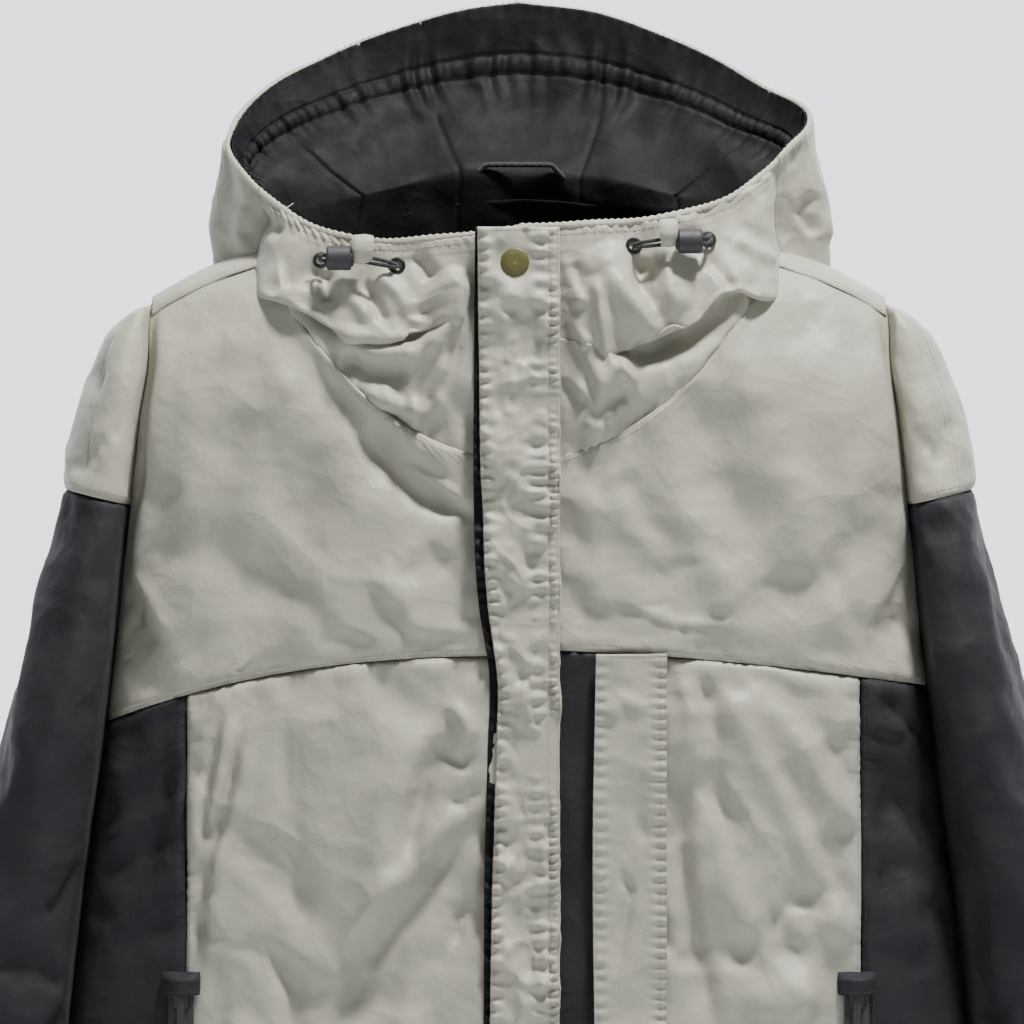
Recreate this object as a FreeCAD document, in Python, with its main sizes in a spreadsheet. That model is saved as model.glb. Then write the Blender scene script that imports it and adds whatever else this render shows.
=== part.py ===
import FreeCAD, Part
import Sketcher
import math
import os

# Hardshell jacket on a hanger. Front faces -Y, +X is the wearer's left, +Z is up.
# Origin: the hanger loop inside the back of the neck. Millimetres.

V = FreeCAD.Vector
doc = FreeCAD.newDocument("jacket")
sheet = doc.addObject("Spreadsheet::Sheet", "Sizes")

SIZES = {
    # torso
    "hem_z": -770, "shoulder_z": -118, "mid_y": -40, "front_depth": 76, "back_depth": 62,
    "hem_half": 312, "armhole_half": 262,
    "shell_thick": 1.4, "lining_thick": 0.8, "lining_inset": 3.0, "lining_short": 14, "seam_gap": 0.8,
    "side_x": 217, "neck_half": 165, "neck_top_z": -58, "neck_drop": 142, "armhole_bottom": -374,
    # front closure
    "flap_left_x": -27, "flap_right_x": 26.5, "flap_y": -122, "flap_thick": 1.6, "flap_top_z": -51,
    "front_y": -116, "zip_x": 14, "tape_wide": 5.2, "tape_thick": 0.8, "coil_radius": 1.1,
    "coil_gap": 0.7, "edge_off": 8.6, "zip_top_z": -60, "zip_bottom_z": -748,
    "snap_x": -2.6, "snap_high_z": -73, "snap_low_z": -728, "cap_radius": 9.3, "cap_thick": 2.4,
    "stem_radius": 1.5, "stud_radius": 6, "post_radius": 1.8, "socket_radius": 5.6,
    "socket_bore": 2.3, "pad_x": -4, "pad_wide": 16, "pad_tall": 48, "pad_pitch": 130,
    "pad_top_z": -214, "hook_thick": 2.0, "loop_thick": 3.3,
    # slider and pull
    "slider_wide": 9, "slider_tall": 11, "plate_thick": 1.0, "plate_rest": 0.4, "post_wide": 0.9,
    "pull_wide": 5, "pull_tall": 26, "pull_thick": 1.2, "rivet_radius": 1.1, "rivet_long": 2.0,
    "rivet_play": 0.06, "main_slider_z": -72, "chest_slider_z": -356, "hand_slider_z": -552,
    # chest pocket
    "fly_left_x": 48.5, "fly_right_x": 95,
    "fly_y": -122.2, "fly_thick": 1.4, "fly_top_z": -333, "fly_bottom_z": -764,
    "chest_zip_x": 62, "chest_zip_y": -115.9, "chest_zip_top_z": -342, "chest_zip_bottom_z": -548,
    "chest_bag_wide": 80, "chest_bag_y": -107.5, "bag_thick": 1.6,
    # hand pockets
    "hand_zip_x": 220, "hand_zip_y": -110.2, "hand_zip_top_z": -540, "hand_zip_bottom_z": -712,
    "hand_bag_wide": 100, "hand_bag_y": -99,
    # hood and collar
    "rim_half": 188, "rim_mid_y": -33, "rim_deep": 83, "rim_mid_z": 14, "rim_front_drop": 66,
    "rim_back_rise": 83, "hood_part_angle": 63.5,
    # sleeves
    "sleeve_gap": 3.5, "sleeve_thick": 1.4, "sleeve_cap_z": -226, "cuff_z": -730, "cuff_tall": 47,
    # cord locks
    "lock_radius": 8, "lock_long": 16, "lock_bore": 5.6, "lock_wall": 2.6, "plunger_play": 0.08,
    "plunger_long": 9, "plunger_travel": 3, "strand_rise": 1.9, "strand_play": 0.3,
    "eyelet_radius": 5.6, "eyelet_hole": 3.2, "eyelet_thick": 1.6, "cord_radius": 1.3,
    "cord_end_lift": 1.0,
    # cuffs
    "tab_long": 62, "tab_tall": 26, "tab_thick": 1.6, "tab_rest": 4.2, "tab_z": -708,
    # hanger loop and label
    "loop_wide": 60, "loop_drop": 12, "loop_radius": 1.8, "label_wide": 48, "label_tall": 34,
}
for row, (name, value) in enumerate(SIZES.items(), start=1):
    sheet.set("A%d" % row, name)
    sheet.set("B%d" % row, str(value))
    sheet.setAlias("B%d" % row, name)
doc.recompute()


def size(name):
    return float(getattr(sheet, name))


def mix(a, b, f):
    return a + (b - a) * f


def smooth(f):
    f = max(0.0, min(1.0, f))
    return f * f * (3 - 2 * f)


# ---------------------------------------------------------------- the garment's surfaces

MID_Y = size("mid_y")
SQUARE = 3.0  # how square the torso's flat oval is: 2 would be an ellipse


def half_width(z):
    """Half the torso's width at a height."""
    return mix(size("armhole_half"), size("hem_half"), smooth((-200 - z) / (-200 - size("hem_z"))))


def shoulder_line(x):
    """Height of the shoulder ridge above x."""
    out = abs(x)
    if out < 150:
        return -54 + 57 * (1 - (out / 150) ** 2)
    return -54 - 16 * (out - 150) / 50 - 40 * ((out - 150) / 112) ** 3


def roundness(drop, reach):
    """0 on the shoulder ridge, 1 from the given distance below it."""
    f = 1 - min(max(drop, 0) / reach, 1)
    return math.sqrt(max(1 - f * f, 0))


def angle_at(x, z):
    """The torso angle of a place at x, between 0 at the side and 90 at the centre."""
    out = min(abs(x) / half_width(z), 1)
    return math.degrees(math.atan2((1 - out ** SQUARE) ** (1 / SQUARE), out))


def front_y(x, z):
    fall = (1 - min(abs(x) / half_width(z), 1) ** SQUARE) ** (1 / SQUARE)
    return MID_Y - size("front_depth") * fall * roundness(shoulder_line(x) - z, 110)


def back_y(x, z):
    fall = (1 - min(abs(x) / half_width(z), 1) ** SQUARE) ** (1 / SQUARE)
    return MID_Y + size("back_depth") * fall * roundness(shoulder_line(x) - z, 60)


def torso(angle, z):
    """Torso surface: angle 0 is the wearer's left side, 90 the front centre, -90 the back centre."""
    c = math.cos(math.radians(angle))
    s = abs(math.sin(math.radians(angle)))
    reach = (abs(c) ** SQUARE + s ** SQUARE) ** (-1 / SQUARE)
    x = half_width(z) * reach * c
    s *= reach
    if angle >= 0:
        return x, MID_Y - size("front_depth") * s * roundness(shoulder_line(x) - z, 110), z
    return x, MID_Y + size("back_depth") * s * roundness(shoulder_line(x) - z, 60), z


def signed_angle(x, z):
    """The torso angle of a place on the front at x."""
    return angle_at(x, z) if x >= 0 else 180 - angle_at(x, z)


def yoke_seam(x):
    """The seam between yoke and front panels, a little higher on the wearer's left."""
    if x < 0:
        return -329 - 45 * (abs(x) / 274) ** 2.4
    return -325 - 26 * (x / 277) ** 1.7


def back_seam(x):
    return -300 - 22 * (abs(x) / 274) ** 2


def neckline_z(x):
    """Height of the seam between yoke and collar, a deep U across the front."""
    fall = max(1 - (x / size("neck_half")) ** 2, 0) ** 0.75
    return size("neck_top_z") - size("neck_drop") * fall


def back_neckline(x):
    return -14 - 44 * (x / size("neck_half")) ** 2


def rim(turn):
    """The hood opening's edge: turn 0 is the front centre, 180 the back centre, positive to +X."""
    c = math.cos(math.radians(turn))
    x = size("rim_half") * math.sin(math.radians(turn))
    y = size("rim_mid_y") - size("rim_deep") * c
    if c >= 0:
        return V(x, y, size("rim_mid_z") - size("rim_front_drop") * c ** 0.65)
    return V(x, y, size("rim_mid_z") + size("rim_back_rise") * (-c) ** 1.65)


def collar(x_neck, f):
    """Collar front between the neckline (f 0) and the rim (f 1)."""
    x = max(-size("neck_half"), min(size("neck_half"), x_neck))
    z = neckline_z(x)
    low = V(x, front_y(x, z), z)
    out = abs(x) / size("neck_half")
    turn = math.degrees(math.asin(x * (1 + 0.02 * out ** 2) / size("rim_half")))
    high = rim(turn)
    push = 16 * out ** 2 * math.sin(math.pi * f)
    point = low + (high - low) * f
    point.x += math.copysign(push, x)
    point.y -= 0.5 * push * (1 - out ** 4)
    return point


def hood_profile(s):
    """The hood's cross-line at s: 0 at the side parting, 1 at the back centre. Rim to neck seam."""
    start = size("hood_part_angle")
    turn = mix(start, 180, s)
    top = rim(turn)
    quarter = math.radians(90 * s)
    neck = V(size("neck_half") * math.cos(quarter), -44 + 50 * math.sin(quarter),
             -48 + 44 * math.sin(quarter))
    out = V(math.sin(math.radians(turn)), -math.cos(math.radians(turn)) * 0.8, 0)
    out.normalize()
    wide = 15 + 33 * smooth((s - 0.2) / 0.8)
    low = -44 - 8 * smooth(s / 0.25) - 84 * smooth((s - 0.3) / 0.6)
    flat = V(top.x, top.y, 0)
    seat = V(neck.x, neck.y, 0)
    points = [
        top,
        top + out * (0.5 * wide) + V(0, 0, -0.18 * (top.z - low)),
        flat + out * wide + V(0, 0, mix(top.z, low, 0.62)),
        flat + out * (wide - 10) + V(0, 0, low),
        seat + out * mix(14, 50, smooth(s)) + V(0, 0, mix(low, neck.z, 0.2)),
        seat + out * mix(7, 32, smooth(s)) + V(0, 0, mix(low, neck.z, 0.68)),
        neck,
    ]
    curve = Part.BSplineCurve()
    curve.interpolate(points)
    return curve


def hood(s_signed, f):
    curve = hood_profile(abs(s_signed))
    p = curve.value(mix(curve.FirstParameter, curve.LastParameter, f))
    return V(math.copysign(p.x, s_signed), p.y, p.z)


def sleeve_outer_x(z):
    """How far out the hanging sleeve's outer edge is."""
    stops = [(-112, 262), (-126, 272), (-192, 297), (-218, 302), (-350, 338), (-568, 402), (-780, 450)]
    for (z0, x0), (z1, x1) in zip(stops, stops[1:]):
        if z >= z1:
            return mix(x0, x1, (z - z0) / (z1 - z0))
    return stops[-1][1]


def sleeve_inner_x(z):
    beside = half_width(z) + size("sleeve_gap")
    if z > -560:
        return beside
    return mix(beside, 352, smooth((-560 - z) / 190))


def sleeve_depth(z):
    """Half the sleeve's front-to-back size."""
    if z > -374:
        return mix(46, 74, smooth((-120 - z) / 254))
    return mix(74, 47, (-374 - z) / (-374 - size("cuff_z")))


def sleeve(side, angle, z, inset=0.0):
    """Sleeve surface: angle 0 is outermost, 90 the front edge, 180 innermost."""
    outer = sleeve_outer_x(z) - inset
    inner = sleeve_inner_x(z) + inset
    c = math.cos(math.radians(angle))
    s = math.sin(math.radians(angle))
    x = (outer + inner) / 2 + (outer - inner) / 2 * c
    return V(side * x, MID_Y - 2 - (sleeve_depth(z) - inset) * s, z)


# ---------------------------------------------------------------- builders

NODES = []


def keep(node, shape):
    """A sub-part whose shape is set by code."""
    feature = doc.addObject("Part::Feature", node)
    feature.Label = node
    feature.Shape = shape
    feature.Placement = FreeCAD.Placement()
    NODES.append(feature)
    return feature


def cloth(place, across, along, thick, inset=0.0):
    """A closed thin solid: place(u, v) gives its outer face, and the thickness goes inwards."""
    grid = [[V(*place(i / across, j / along)) for j in range(along + 1)] for i in range(across + 1)]

    def layer(depth):
        rows = []
        for i in range(across + 1):
            row = []
            for j in range(along + 1):
                run = grid[min(i + 1, across)][j] - grid[max(i - 1, 0)][j]
                fall = grid[i][min(j + 1, along)] - grid[i][max(j - 1, 0)]
                normal = run.cross(fall)
                normal.normalize()
                row.append(grid[i][j] + normal * depth)
            rows.append(row)
        surface = Part.BSplineSurface()
        surface.interpolate(rows)
        return surface

    outer = layer(inset)
    inner = layer(inset + thick)
    faces = [outer.toShape(), inner.toShape()]
    u0, u1, v0, v1 = outer.bounds()
    for edge in (lambda b: b.uIso(u0), lambda b: b.uIso(u1), lambda b: b.vIso(v0), lambda b: b.vIso(v1)):
        faces.append(Part.makeRuledSurface(edge(outer).toShape(), edge(inner).toShape(), 1))
    shell = Part.makeShell(faces)
    shell.sewShape()
    solid = Part.makeSolid(Part.Shell(shell.Faces))
    if solid.Volume < 0:
        solid.reverse()
    return solid


def torso_panel(left, right, low, high):
    """A place function for a torso front panel between two x edges and two heights (functions)."""
    rest = size("seam_gap")

    def place(u, v):
        z = mix(high(0), low(0), v)
        for _ in range(4):
            a_left = signed_angle(left(z), z)
            a_right = signed_angle(right(z), z)
            angle = mix(a_left, a_right, u)
            x = torso(angle, z)[0]
            z = mix(high(x) - rest, low(x) + rest, v)
        return torso(angle, z)
    return place


def back_place(half, low, high):
    """A place function for a back panel as wide as half(z) each way."""
    rest = size("seam_gap")

    def place(u, v):
        z = mix(high(0), low(0), v)
        for _ in range(4):
            edge = angle_at(half(z), z)
            angle = mix(-edge, -180 + edge, u)
            x = torso(angle, z)[0]
            z = mix(high(x) - rest, low(x) + rest, v)
        return torso(angle, z)
    return place


def bind(obj, **links):
    for prop, formula in links.items():
        obj.setExpression(prop.replace("__", "."), formula)
    return obj


def name_of(base, side):
    return "%s_%s" % (base, "left" if side > 0 else "right")


# ---------------------------------------------------------------- torso

def yoke_top(x):
    if abs(x) < size("neck_half"):
        return min(neckline_z(x), shoulder_line(x) - 1.5)
    return shoulder_line(x) - 1.5


def zip_edges():
    """The x of the two panel edges that the main zip's tapes are sewn to."""
    return size("zip_x") - size("edge_off"), size("zip_x") + size("edge_off")


def arm_edge(z):
    """The torso's edge at the armhole."""
    return half_width(z) * 0.994


def make_yokes():
    thick = size("shell_thick")
    zip_right, zip_left = zip_edges()
    right = torso_panel(lambda z: -arm_edge(z), lambda z: zip_right, yoke_seam, yoke_top)
    left = torso_panel(lambda z: zip_left, arm_edge, yoke_seam, yoke_top)
    keep("front_yoke_right", cloth(right, 26, 8, thick))
    keep("front_yoke_left", cloth(left, 26, 8, thick))

    def back_top(x):
        if abs(x) < size("neck_half"):
            return min(back_neckline(x), shoulder_line(x) - 1.5)
        return shoulder_line(x) - 1.5
    keep("back_yoke", cloth(back_place(arm_edge, back_seam, back_top), 30, 8, thick))


def hem(x):
    return size("hem_z")


def make_lower_panels():
    thick = size("shell_thick")
    side = size("side_x")
    zip_right, zip_left = zip_edges()
    seam = size("seam_gap")
    keep("front_panel_right", cloth(torso_panel(
        lambda z: -side, lambda z: zip_right, hem, yoke_seam), 10, 8, thick))
    chest_low = size("chest_zip_x") - size("edge_off")
    chest_high = size("chest_zip_x") + size("edge_off")
    keep("pocket_facing", cloth(torso_panel(
        lambda z: zip_left, lambda z: chest_low, hem, yoke_seam), 3, 8, thick))
    keep("front_panel_left", Part.makeCompound([
        cloth(torso_panel(lambda z: chest_high, lambda z: side + 6, hem, yoke_seam), 8, 8, thick),
        cloth(torso_panel(lambda z: chest_low + seam, lambda z: chest_high - seam, hem,
                          lambda x: size("chest_zip_bottom_z") - 2), 2, 4, thick)]))

    def side_place(sign):
        def top(x, front):
            under = smooth((abs(x) - 215) / 55)
            start = yoke_seam(sign * abs(x)) if front else back_seam(x) - 12
            return mix(start, size("armhole_bottom"), under)

        def place(u, v):
            z = -500
            for _ in range(4):
                reach = side + (6 if sign > 0 else 0) + seam
                front = signed_angle(reach, z)
                back = -angle_at(side - 10 + seam, z)
                angle = mix(front, back, u) if sign > 0 else mix(front, back, 1 - u)
                x = torso(angle, z)[0]
                z = mix(top(x, angle >= 0) - seam, size("hem_z") + seam, v)
            spot = torso(angle, z)
            return sign * spot[0], spot[1], spot[2]
        return place
    for sign in (-1, 1):
        keep(name_of("side_panel", sign), cloth(side_place(sign), 20, 8, thick))

    def back_top(x):
        return back_seam(x) - 2 * seam
    keep("back_panel", cloth(back_place(lambda z: side - 10, hem, back_top), 16, 8, thick))


def lining_hem(x):
    return size("hem_z") + size("lining_short")


def lining_top(x):
    return min(-224 + 110 * smooth((abs(x) - 60) / 120), shoulder_line(x) - 62)


def make_linings():
    thin = size("lining_thick")
    inset = size("lining_inset")
    fronts = []
    for sign in (-1, 1):
        def edge(z):
            return sign * 34

        def arm(z):
            return sign * (half_width(z) * 0.92)
        near, far = (edge, arm) if sign > 0 else (arm, edge)
        fronts.append(cloth(torso_panel(near, far, lining_hem, lining_top), 16, 14, thin, inset))
    keep("body_lining_front", Part.makeCompound(fronts))
    keep("body_lining_back", cloth(back_place(
        lambda z: half_width(z) * 0.86, lining_hem,
        lambda x: min(back_neckline(x) - 12, shoulder_line(x) - 40)), 24, 14, thin, inset))


# ---------------------------------------------------------------- collar and hood

def make_collar():
    thick = size("shell_thick")
    zip_right, zip_left = zip_edges()
    lift = 0.03

    def bow(x):
        return math.degrees(math.asin(max(-1, min(1, x / size("neck_half")))))

    def along(start, stop):
        a0 = bow(start)
        a1 = bow(stop)
        return lambda u: size("neck_half") * math.sin(math.radians(mix(a0, a1, u)))
    right = along(-size("neck_half") + 0.2, zip_right)
    left = along(zip_left, size("neck_half") - 0.2)
    keep("collar_right", cloth(lambda u, v: collar(right(u), mix(1, lift, v)), 16, 6, thick))
    keep("collar_left", cloth(lambda u, v: collar(left(u), mix(1, lift, v)), 16, 6, thick))
    inner_right = along(-size("neck_half") + 14, -30)
    inner_left = along(34, size("neck_half") - 14)
    inset = size("lining_inset")
    thin = size("lining_thick")
    keep("collar_lining", Part.makeCompound([
        cloth(lambda u, v: collar(inner_right(u), mix(0.93, 0.1, v)), 12, 6, thin, inset),
        cloth(lambda u, v: collar(inner_left(u), mix(0.93, 0.1, v)), 12, 6, thin, inset)]))


HOOD_START = 0.07
HOOD_SPLIT = 0.76


def make_hood():
    thick = size("shell_thick")
    near = 0.985
    keep("hood_side_left", cloth(
        lambda u, v: hood(mix(HOOD_START, HOOD_SPLIT - 0.004, u), v * near), 14, 20, thick))
    keep("hood_side_right", cloth(
        lambda u, v: hood(-mix(HOOD_SPLIT - 0.004, HOOD_START, u), v * near), 14, 20, thick))

    def middle(u, v):
        reach = mix(HOOD_SPLIT, 2 - HOOD_SPLIT, u)
        return hood(reach, v * near) if reach <= 1 else hood(-(2 - reach), v * near)
    keep("hood_centre", cloth(middle, 8, 20, thick))

    def inside(u, v):
        reach = mix(HOOD_START + 0.04, 2 - HOOD_START - 0.04, u)
        f = mix(0.1, 0.58, v)
        return hood(reach, f) if reach <= 1 else hood(-(2 - reach), f)
    keep("hood_lining", cloth(inside, 34, 14, size("lining_thick"), size("lining_inset") + 1.4))


# ---------------------------------------------------------------- sleeves

def ring(side, z, inset):
    """The sleeve's outline at a height, as one closed curve."""
    points = [sleeve(side, angle, z, inset) for angle in range(0, 360, 30)]
    curve = Part.BSplineCurve()
    curve.interpolate(points, True)
    return Part.Wire([curve.toShape()])


def tube(side, heights, inset, thick):
    outer = Part.makeLoft([ring(side, z, inset) for z in heights], True, False)
    reach = heights[0] + 5
    inner_heights = [reach] + heights[1:-1] + [heights[-1] - 5]
    inner = Part.makeLoft([ring(side, z, inset + thick) for z in inner_heights], True, False)
    return outer.cut(inner)


def make_sleeves():
    thick = size("sleeve_thick")
    seam = size("seam_gap")
    cap_z = size("sleeve_cap_z")
    under_z = size("armhole_bottom") - 4
    cuff_z = size("cuff_z")
    cuff_top = cuff_z + size("cuff_tall")
    top_z = size("shoulder_z") - 6
    for side in (-1, 1):
        def cap(u, v):
            z = mix(top_z, cap_z + seam, v)
            return sleeve(side, mix(-100, 100, u if side > 0 else 1 - u) * -1, z)

        def upper(u, v):
            z = mix(cap_z - seam, under_z, v)
            return sleeve(side, mix(-100, 100, u if side > 0 else 1 - u) * -1, z)
        keep(name_of("sleeve_cap", side), cloth(cap, 14, 6, thick))
        keep(name_of("sleeve_lower", side), Part.makeCompound([
            cloth(upper, 14, 6, thick),
            tube(side, [under_z - 1, -470, -560, -650, cuff_top + 1], 0, thick)]))
        keep(name_of("sleeve_lining", side), tube(side, [under_z - 8, -470, -560, -650, cuff_top + 5],
                                            3.4, 0.8))
        keep(name_of("sleeve_cuff", side), tube(side, [cuff_top, mix(cuff_z, cuff_top, 0.5), cuff_z],
                                          0, thick + 0.6))


# ---------------------------------------------------------------- primitives bound to the sheet

def block(tag, x, y, z, wide, deep, tall):
    """A box from its lowest corner; every argument is a formula."""
    box = doc.addObject("Part::Box", tag)
    return bind(box, Length=wide, Width=deep, Height=tall,
                Placement__Base__x=x, Placement__Base__y=y, Placement__Base__z=z)


def rod(tag, along, x, y, z, radius, long):
    """A cylinder from its first end, along X, Y or Z; every size is a formula."""
    cylinder = doc.addObject("Part::Cylinder", tag)
    turns = {"X": (V(0, 1, 0), 90), "Y": (V(1, 0, 0), -90), "Z": (V(0, 0, 1), 0)}
    axis, angle = turns[along]
    cylinder.Placement = FreeCAD.Placement(V(0, 0, 0), FreeCAD.Rotation(axis, angle))
    return bind(cylinder, Radius=radius, Height=long,
                Placement__Base__x=x, Placement__Base__y=y, Placement__Base__z=z)


def joined(node, pieces):
    fuse = doc.addObject("Part::MultiFuse", node)
    fuse.Label = node
    fuse.Shapes = pieces
    return fuse


def less(node, base, tool):
    cut = doc.addObject("Part::Cut", node)
    cut.Label = node
    cut.Base = base
    cut.Tool = tool
    return cut


def group(node, pieces):
    """Several separate solids in one sub-part."""
    compound = doc.addObject("Part::Compound", node)
    compound.Label = node
    compound.Links = pieces
    return compound


def done(obj):
    obj.Label = obj.Name
    NODES.append(obj)
    return obj


def turned_body(node, outline, spot, rotation=None):
    """A PartDesign body: an outline of (radius, height) formulas revolved about its Z axis."""
    body = doc.addObject("PartDesign::Body", node)
    body.Label = node
    sketch = body.newObject("Sketcher::SketchObject", node + "_outline")
    plane = [f for f in body.Origin.OriginFeatures if f.Role == "XZ_Plane"][0]
    sketch.AttachmentSupport = [(plane, "")]
    sketch.MapMode = "FlatFace"
    draw_outline(sketch, outline)
    turn = body.newObject("PartDesign::Revolution", node + "_turn")
    turn.Profile = sketch
    turn.ReferenceAxis = (sketch, ["V_Axis"])
    turn.Angle = 360
    body.Placement = FreeCAD.Placement(spot, rotation or FreeCAD.Rotation())
    return body


def draw_outline(sketch, outline):
    """A closed outline of straight edges, each corner held by two bound distances."""
    corners = [V(float(sketch.evalExpression(a)), float(sketch.evalExpression(b)), 0) for a, b in outline]
    count = len(corners)
    for i in range(count):
        sketch.addGeometry(Part.LineSegment(corners[i], corners[(i + 1) % count]), False)
    for i in range(count):
        sketch.addConstraint(Sketcher.Constraint("Coincident", i, 2, (i + 1) % count, 1))
    for i, (a, b) in enumerate(outline):
        for kind, formula, value in (("DistanceX", a, corners[i].x), ("DistanceY", b, corners[i].y)):
            if abs(value) < 1e-9:
                other = -2 if kind == "DistanceX" else -1
                sketch.addConstraint(Sketcher.Constraint("PointOnObject", i, 1, other))
                continue
            index = sketch.addConstraint(Sketcher.Constraint(kind, -1, 1, i, 1, value))
            sketch.setExpression("Constraints[%d]" % index, formula)


def plate_body(node, outline, thick, spot, rotation=None):
    """A PartDesign body: an outline of (x, z) formulas padded in +Y by a thickness formula."""
    body = doc.addObject("PartDesign::Body", node)
    body.Label = node
    sketch = body.newObject("Sketcher::SketchObject", node + "_outline")
    plane = [f for f in body.Origin.OriginFeatures if f.Role == "XZ_Plane"][0]
    sketch.AttachmentSupport = [(plane, "")]
    sketch.MapMode = "FlatFace"
    draw_outline(sketch, outline)
    pad = body.newObject("PartDesign::Pad", node + "_pad")
    pad.Profile = sketch
    pad.setExpression("Length", thick)
    pad.Reversed = True
    body.Placement = FreeCAD.Placement(spot, rotation or FreeCAD.Rotation())
    return body


# ---------------------------------------------------------------- zips

def make_zip(prefix, x, y, top, bottom, nodes):
    """Two tapes and two coils; nodes says how they are grouped."""
    s = "Sizes."
    tall = "%s - %s" % (top, bottom)
    tapes = [
        block(prefix + "_tape_a", "%s - %scoil_gap - 2 * %scoil_radius - 0.1 - %stape_wide" % (x, s, s, s),
              y, bottom, s + "tape_wide", s + "tape_thick", tall),
        block(prefix + "_tape_b", "%s + %scoil_gap + 2 * %scoil_radius + 0.1" % (x, s, s),
              y, bottom, s + "tape_wide", s + "tape_thick", tall)]
    middle = "%s + %stape_thick / 2" % (y, s)
    coils = [
        rod(prefix + "_coil_a", "Z", "%s - %scoil_gap - %scoil_radius" % (x, s, s),
            middle, bottom, s + "coil_radius", tall),
        rod(prefix + "_coil_b", "Z", "%s + %scoil_gap + %scoil_radius" % (x, s, s),
            middle, bottom, s + "coil_radius", tall)]
    if len(nodes) == 1:
        done(group(nodes[0], tapes + coils))
        return
    for node, pieces in zip(nodes, (tapes, coils)):
        done(group(node, pieces))


def make_slider(prefix, x, y, z):
    """A slider of two plates round the coils, and its pull on a rivet in front."""
    s = "Sizes."
    middle = "(%s + %stape_thick / 2)" % (y, s)
    reach = "(%scoil_radius + %splate_rest)" % (s, s)
    left = "%s - %sslider_wide / 2" % (x, s)
    low = "%s - %sslider_tall / 2" % (z, s)
    front = block(prefix + "_front", left, "%s - %s - %splate_thick" % (middle, reach, s), low,
                  s + "slider_wide", s + "plate_thick", s + "slider_tall")
    back = block(prefix + "_back", left, "%s + %s" % (middle, reach), low,
                 s + "slider_wide", s + "plate_thick", s + "slider_tall")
    post = block(prefix + "_post", "%s - %spost_wide / 2" % (x, s), "%s - %s" % (middle, reach),
                 "%s + %sslider_tall / 4" % (z, s), s + "post_wide", "2 * %s" % reach, s + "slider_tall / 4")
    face = "%s - %s - %splate_thick" % (middle, reach, s)
    rivet = rod(prefix + "_rivet", "Y", x, "%s - %srivet_long" % (face, s), z, s + "rivet_radius",
                s + "rivet_long")
    done(joined(prefix + "_slider", [front, back, post, rivet]))
    rest = "%s - 0.3 - %spull_thick" % (face, s)
    hub = rod(prefix + "_hub", "Y", x, rest, z, s + "pull_wide / 2", s + "pull_thick")
    toe = rod(prefix + "_toe", "Y", x, rest, "%s - %spull_tall" % (z, s), s + "pull_wide / 2",
              s + "pull_thick")
    blade = block(prefix + "_blade", "%s - %spull_wide / 2" % (x, s), rest, "%s - %spull_tall" % (z, s),
                  s + "pull_wide", s + "pull_thick", s + "pull_tall")
    tab = joined(prefix + "_tab", [hub, toe, blade])
    bore = rod(prefix + "_bore", "Y", x, "%s - 1" % rest, z,
               "%srivet_radius + %srivet_play" % (s, s), s + "pull_thick + 2")
    done(less(prefix + "_pull", tab, bore))


def make_all_zips():
    s = "Sizes."
    make_zip("main_zip", s + "zip_x", s + "front_y", s + "zip_top_z", s + "zip_bottom_z",
             ("main_zip_tapes", "main_zip_coils"))
    make_slider("main_zip", s + "zip_x", s + "front_y", s + "main_slider_z")
    done(block("main_zip_bottom_box", "Sizes.zip_x - 4.5", "Sizes.front_y - 1.4", "Sizes.zip_bottom_z - 10",
               "9", "4", "9.8"))
    make_zip("chest_zip", s + "chest_zip_x", s + "chest_zip_y", s + "chest_zip_top_z",
             s + "chest_zip_bottom_z", ("chest_zip_chain",))
    make_slider("chest_zip", s + "chest_zip_x", s + "chest_zip_y", s + "chest_slider_z")
    for side in (-1, 1):
        tag = name_of("hand_zip", side)
        x = "%d * Sizes.hand_zip_x" % side
        make_zip(tag, x, s + "hand_zip_y", s + "hand_zip_top_z", s + "hand_zip_bottom_z",
                 (tag + "_chain",))
        make_slider(tag, x, s + "hand_zip_y", s + "hand_slider_z")


def make_pockets():
    done(block("chest_pocket_bag", "Sizes.chest_zip_x - 14", "Sizes.chest_bag_y",
               "Sizes.chest_zip_bottom_z - 40",
               "Sizes.chest_bag_wide", "Sizes.bag_thick",
               "Sizes.chest_zip_top_z - Sizes.chest_zip_bottom_z + 40"))
    bags = []
    for side in (-1, 1):
        left = "Sizes.hand_zip_x - 15 - Sizes.hand_bag_wide" if side > 0 else "15 - Sizes.hand_zip_x"
        bags.append(block(name_of("hand_bag", side), left, "Sizes.hand_bag_y",
                          "Sizes.hand_zip_bottom_z - 20",
                          "Sizes.hand_bag_wide", "Sizes.bag_thick",
                          "Sizes.hand_zip_top_z - Sizes.hand_zip_bottom_z + 20"))
    done(group("hand_pocket_bags", bags))


# ---------------------------------------------------------------- storm flap, fly and snaps

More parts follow.
